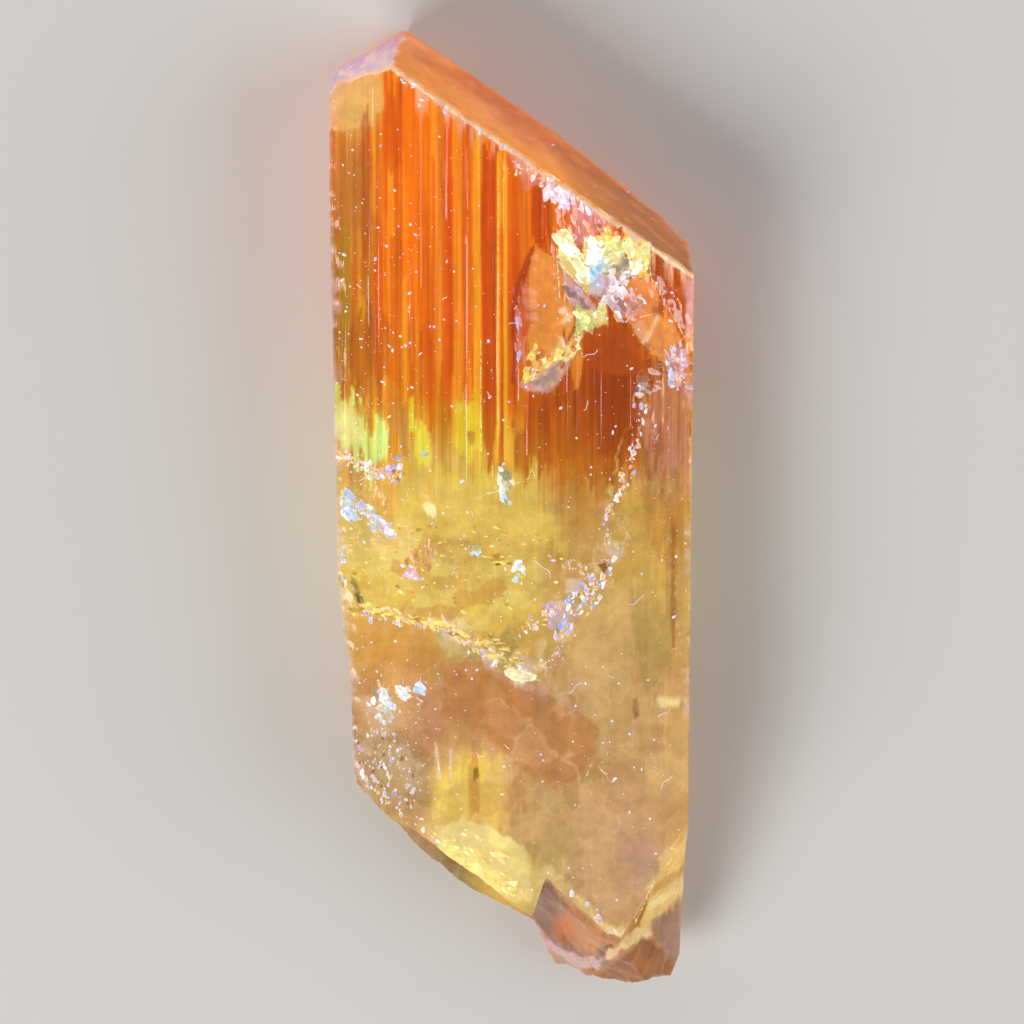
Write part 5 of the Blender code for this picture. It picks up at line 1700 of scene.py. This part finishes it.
def place_crumbs(size):
    """Crumbs along the breaks: at even steps along each path, then thrown aside by up to its spread."""
    places = [even_path(path, count) + (np.full(count, spread),) for count, spread, path in CRUMB_PATHS]
    x, y, spread = np.concatenate(places, axis=1)
    number = np.arange(len(x))
    turn = math.tau * chance(number, 731)
    away = spread * chance(number, 732) ** 1.5
    x = x + away * np.cos(turn)
    y = y + away * np.sin(turn)
    kept = on_front(x, y, 0.28)
    sizes = size * (0.45 + 1.6 * chance(number, 734) ** 3)
    rims = plate_rims(x, y, sizes, 1.0 + 1.2 * chance(number, 736) ** 2, 0.0 * x, 733)
    tones = np.array(CRUMB_TONES)[(chance(number, 737) * len(CRUMB_TONES)).astype(int)]
    build_plates(
        "crumbs", [rim[kept] for rim in rims], np.full(kept.sum(), 0.09),
        (0.7 * swing(number, 738)[kept], 0.7 * swing(number, 739)[kept]), tones[kept], 0.8)


def place_shards():
    """Fields of shards: uneven in size and turn, and each in one of its field's tones."""
    drawn = []
    for index, (count, size, stretch, turn, tones, outline) in enumerate(SHARD_FIELDS):
        x, y = scatter(pairs(outline), count, 760 + 7 * index)
        number = np.arange(len(x))
        tone = np.array(tones)[(chance(number, index, 771) * len(tones)).astype(int)]
        widths = size * (0.55 + 0.9 * chance(number, index, 772) ** 2)
        turns = np.radians(turn + 50.0 * swing(number, index, 773))
        drawn.append(np.column_stack([x, y, widths, stretch + 0.0 * x, turns, tone]))
    drawn = np.concatenate(drawn)
    rim = drawn[:, 2] * mix(1.0, drawn[:, 3], np.abs(np.cos(drawn[:, 4])))
    drawn = drawn[on_front(drawn[:, 0], drawn[:, 1], 0.12 + 0.8 * rim)]
    x, y, size, stretch, turn = drawn[:, :5].T
    number = np.arange(len(x))
    build_plates(
        "shards", plate_rims(x, y, size, stretch, turn, 775), 0.04 + 0.22 * size,
        (0.5 * swing(number, 777), 0.5 * swing(number, 778)), drawn[:, 5:], 0.35)


class KUNZITE_OT_chips(bpy.types.Operator):
    """Set the large chips, the crumbs along the breaks and the fields of shards"""

    bl_idname = "kunzite.chips"
    bl_label = "Chips, Crumbs and Shards"

    def execute(self, context):
        place_chips()
        place_crumbs(context.scene.kunzite_dust.crumb_size / MM)
        place_shards()
        return {"FINISHED"}


def thread_points(x, y, z, radius):
    """Tubes along bent lines: five points round each station, at the tube's radius there."""
    around = np.linspace(0.0, math.tau, 5, endpoint=False)
    run_x = np.gradient(x, axis=1)
    run_y = np.gradient(y, axis=1)
    length = np.hypot(run_x, run_y) + 1e-9
    side_x = (-run_y / length)[..., None]
    side_y = (run_x / length)[..., None]
    across = radius[..., None] * np.cos(around)
    up = radius[..., None] * np.sin(around)
    return np.stack([
        x[..., None] + across * side_x, y[..., None] + across * side_y, z[..., None] + up], axis=-1)


def build_threads(name, x, y, z, radius, colours, material):
    """Tubes with the same number of stations in one object, closed to a point at both ends."""
    radius = radius * np.where((np.arange(x.shape[1]) % (x.shape[1] - 1)) == 0, 0.0, 1.0)
    points = thread_points(x, y, z, radius)
    build_copies(name, points, material, colours, 0.5 + 0.7 * point_chance(points, 747))


def place_cracks():
    """Cracks, raised rims and lines of painted highlight: listed lines that waver, swell and break off here
    and there.
    """
    number = np.arange(len(THREADS))[:, None]
    station = np.arange(THREAD_STATIONS)[None, :]
    lines = np.array([even_path(points, THREAD_STATIONS) for _, _, _, points in THREADS])
    radius = np.array([half for _, half, _, _ in THREADS])[:, None]
    waver = np.array([shake for _, _, shake, _ in THREADS])[:, None]
    bend = 2.0 * swing(number, station, 741) + 1.5 * ripple(station / 5.0, number, 743)
    x = lines[:, 0] + waver * bend
    y = lines[:, 1] + 2.4 * waver * swing(number, station, 742)
    gaps = smooth(-0.35, 0.3, ripple(station / 3.0, number, 746) + 6.0 * (waver < 0.03))
    swell = gaps * (0.2 + 0.9 * chance(number, station, 744) ** 2 + 0.3 * ripple(station / 4.0, number, 745))
    colours = np.array([ink(*colour) for colour, _, _, _ in THREADS])
    z = front_height(x, y) - 0.01
    build_threads("cracks", x, y, z, radius * np.maximum(swell, 0.04), colours, chip_material())


# Lint: stations of a fibre, the field in x and y that fibres start from and the limits of x
LINT_STATIONS = 12
LINT_FIELD = ((-12.0, 12.0), (-25.0, 29.0))
LINT_LIMITS = (-12.6, 13.2)


def place_lint(fibres, width):
    """Loose fibres: arcs with a wave on them, y = bend t t + wave sin(4 t + turn), lifted off the face."""
    number = np.arange(fibres)[:, None]
    t = np.linspace(-1.0, 1.0, LINT_STATIONS)
    turn = math.tau * chance(number, 751)
    half = 0.25 + 0.9 * chance(number, 752) ** 3
    aside = half * swing(number, 753) * t * t + 0.12 * half * np.sin(4.0 * t + turn)
    away_x, away_y = turned(half * t, aside, turn)
    x = np.clip(mix(*LINT_FIELD[0], chance(number, 754)) + away_x, *LINT_LIMITS)
    y = mix(*LINT_FIELD[1], chance(number, 755)) + away_y
    below_roof = (y.max(axis=1) < 19.0) | (x.max(axis=1) < -1.0)
    above_break = (y.min(axis=1) > -17.0) | (x.min(axis=1) > -2.0)
    x = x[below_roof & above_break]
    y = y[below_roof & above_break]
    colours = np.tile(ink(236, 228, 248), (len(x), 1))
    build_threads("lint", x, y, front_height(x, y) + 0.05, width + 0.0 * x, colours, dust_material())


class KUNZITE_OT_threads(bpy.types.Operator):
    """Lay the cracks, the raised rims, the painted highlight lines and the lint on the front face"""

    bl_idname = "kunzite.threads"
    bl_label = "Cracks and Lint"

    def execute(self, context):
        settings = context.scene.kunzite_dust
        place_cracks()
        place_lint(settings.fibres, settings.fibre_width / MM)
        return {"FINISHED"}


# Dust: rows and sides of a grain. Of every so many specks, the one with this rest is put into this field
# of x and y, drawn with this seed
SPECK_ROWS = 4
SPECK_SIDES = 5
DUST_FIELDS = (
    (1, 0, (-13.3, 13.4), (-30.0, 40.0), 701),
    (6, 0, (-12.4, -5.4), (-22.0, -9.0), 703),
    (7, 3, (-13.2, -7.0), (2.0, 30.0), 708),
)


def speck_points(centres, sizes, turns, stretch):
    """Low round grains: a coarse sphere, stretched, turned and set down at each centre."""
    around = np.linspace(0.0, math.tau, SPECK_SIDES, endpoint=False)
    down = np.linspace(0.0, math.pi, SPECK_ROWS)[:, None]
    stretch, turns, sizes = (values[:, None, None] for values in (stretch, turns, sizes))
    away_x, away_y = turned(np.sin(down) * np.cos(around) * stretch, np.sin(down) * np.sin(around), turns)
    shape = np.stack(np.broadcast_arrays(away_x, away_y, 0.75 * np.cos(down)), axis=-1)
    return centres[:, None, None, :] + shape * sizes[..., None]


def place_dust(specks, radius):
    """Specks on the front face and, more thinly, on the roof."""
    index = np.arange(specks)
    x = np.zeros(specks)
    y = np.zeros(specks)
    for every, rest, across, along, seed in DUST_FIELDS:
        here = index % every == rest
        x = np.where(here, mix(*across, chance(index, seed)), x)
        y = np.where(here, mix(*along, chance(index, seed + 1)), y)
    ridge = front_top(x)
    on_roof = y > ridge
    depth = FRONT * chance(index, 710)
    seat = np.where(on_roof, depth, front_height(x, np.minimum(y, ridge)))
    above_break = y > break_height(x, 0.0 * x + FRONT) + 0.5
    kept = (on_roof & (index % 3 == 0)) | ((y < ridge - 0.3) & above_break)
    y = np.where(on_roof, roof_height(x, depth), y)
    kept &= x > left_side(y, FRONT) + 0.2
    size = radius * (0.5 + 1.7 * chance(index, 705) ** 4)
    turn = math.tau * chance(index, 706)
    stretch = 1.0 + 1.6 * chance(index, 707) ** 3
    centres = np.stack([x, y, seat + 0.35 * size], axis=-1)
    points = speck_points(centres[kept], size[kept], turn[kept], stretch[kept])
    build_copies("dust_specks", points, dust_material(), flipped=True)


class KUNZITE_OT_dust(bpy.types.Operator):
    """Scatter dust specks over the front face and the roof"""

    bl_idname = "kunzite.dust"
    bl_label = "Dust Specks"

    def execute(self, context):
        settings = context.scene.kunzite_dust
        place_dust(settings.specks, settings.speck_size / MM)
        return {"FINISHED"}


# Studio, in metres: the lights' target, and each light's name, place, size, power and colour
LIGHT_TARGET = (0.0, 0.0, 0.006)
LIGHTS = (
    ("key_light", (-0.70, -0.60, 0.75), (0.7, 0.7), 10.5, (1.0, 0.97, 0.93)),
    ("fill_light", (0.9, 0.1, 0.7), (0.9, 0.9), 4.6, (0.94, 0.96, 1.0)),
    ("end_light", (-0.2, 1.1, 0.6), (0.8, 0.6), 2.2, (1.0, 0.98, 0.95)),
)
WORLD_COLOUR = (0.93, 0.95, 1.0, 1.0)
WORLD_STRENGTH = 0.20

# How far the floor lies below the crystal, in millimetres
FLOOR_DROP = 0.1

# Camera: width of the frame in pixels, metres per pixel on the crystal, where the crystal's middle is in
# the frame, the height that is aimed at and the sensor's width in millimetres
FRAME_PIXELS = 1024.0
PIXEL = 0.000076
CRYSTAL_MIDDLE = (511.5, 504.6)
AIM_HEIGHT = 0.007
SENSOR_WIDTH = 36.0


def add_area_light(name, place, size, power, colour):
    """A rectangular soft light that is aimed at the crystal."""
    data = bpy.data.lights.new(name, "AREA")
    data.shape = "RECTANGLE"
    data.size, data.size_y = size
    data.energy = power
    data.color = colour
    item = bpy.data.objects.new(name, data)
    bpy.context.scene.collection.objects.link(item)
    item.location = place
    item.rotation_euler = (Vector(LIGHT_TARGET) - item.location).to_track_quat("-Z", "Y").to_euler()


class KUNZITE_OT_stage(bpy.types.Operator):
    """Lay the pale floor, hang the soft lights and set the camera"""

    bl_idname = "kunzite.stage"
    bl_label = "Stage"

    def execute(self, context):
        settings = context.scene.kunzite_stage
        scene = context.scene
        half = 0.5 * settings.floor_size / MM
        corners = [(half * x, half * y, -FLOOR_DROP) for x, y in ((-1, -1), (1, -1), (1, 1), (-1, 1))]
        floor, _ = mesh_object("floor", corners, np.array([(0, 1, 2, 3)]))
        material, tree, shader = new_material("pale_floor")
        set_inputs(tree, shader, {"Base Color": (*settings.floor_colour, 1.0), "Roughness": 0.85})
        floor.data.materials.append(material)

        world = bpy.data.worlds.new("studio")
        world.use_nodes = True
        set_inputs(world.node_tree, world.node_tree.nodes["Background"], {
            "Color": WORLD_COLOUR, "Strength": WORLD_STRENGTH})
        scene.world = world
        scene.view_settings.view_transform = "Standard"
        for light in LIGHTS:
            add_area_light(*light)
        self.set_camera(scene, settings)
        return {"FINISHED"}

    def set_camera(self, scene, settings):
        """The photograph's view: straight down on the front face, leaning over the upper end."""
        right = Vector((1.0, 0.0, 0.0))
        up = Vector((0.0, math.cos(settings.tilt), -math.sin(settings.tilt)))
        back = Vector((0.0, math.sin(settings.tilt), math.cos(settings.tilt)))
        half = FRAME_PIXELS / 2.0
        target = Vector((0.0, 0.0, AIM_HEIGHT)) + up * AIM_HEIGHT * math.sin(settings.tilt)
        target += right * (half - CRYSTAL_MIDDLE[0]) * PIXEL - up * (half - CRYSTAL_MIDDLE[1]) * PIXEL
        data = bpy.data.cameras.new("camera")
        data.sensor_width = SENSOR_WIDTH
        data.lens = SENSOR_WIDTH * settings.distance / (FRAME_PIXELS * PIXEL)
        data.clip_start = 0.01
        item = bpy.data.objects.new("camera", data)
        scene.collection.objects.link(item)
        turn = Matrix((right, up, back)).transposed().to_4x4()
        item.matrix_world = Matrix.Translation(target + back * settings.distance) @ turn
        scene.camera = item


class KUNZITE_PT_panel(bpy.types.Panel):
    """Lists the steps that build the crystal"""

    bl_idname = "KUNZITE_PT_panel"
    bl_label = "Kunzite Crystal"
    bl_space_type = "VIEW_3D"
    bl_region_type = "UI"
    bl_category = "Kunzite"

    def draw(self, context):
        for operator in OPERATORS:
            self.layout.operator(operator.bl_idname)
        for name, _ in SETTINGS:
            group = getattr(context.scene, name)
            box = self.layout.box()
            for field in group.bl_rna.properties.keys():
                if field not in ("rna_type", "name"):
                    box.prop(group, field)


SETTINGS = (
    ("kunzite_crystal", CrystalSettings),
    ("kunzite_dust", DustSettings),
    ("kunzite_stage", StageSettings),
)
OPERATORS = (
    KUNZITE_OT_crystal_body, KUNZITE_OT_chips, KUNZITE_OT_threads, KUNZITE_OT_dust, KUNZITE_OT_stage,
)


def register():
    for name, group in SETTINGS:
        bpy.utils.register_class(group)
        setattr(bpy.types.Scene, name, bpy.props.PointerProperty(type=group))
    for operator in OPERATORS:
        bpy.utils.register_class(operator)
    bpy.utils.register_class(KUNZITE_PT_panel)


def unregister():
    bpy.utils.unregister_class(KUNZITE_PT_panel)
    for operator in reversed(OPERATORS):
        bpy.utils.unregister_class(operator)
    for name, group in reversed(SETTINGS):
        delattr(bpy.types.Scene, name)
        bpy.utils.unregister_class(group)


def main():
    """Register the add-on and build every piece in order."""
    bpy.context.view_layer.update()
    register()
    bpy.ops.kunzite.crystal_body()
    bpy.ops.kunzite.chips()
    bpy.ops.kunzite.threads()
    bpy.ops.kunzite.dust()
    bpy.ops.kunzite.stage()


if __name__ == "__main__":
    main()
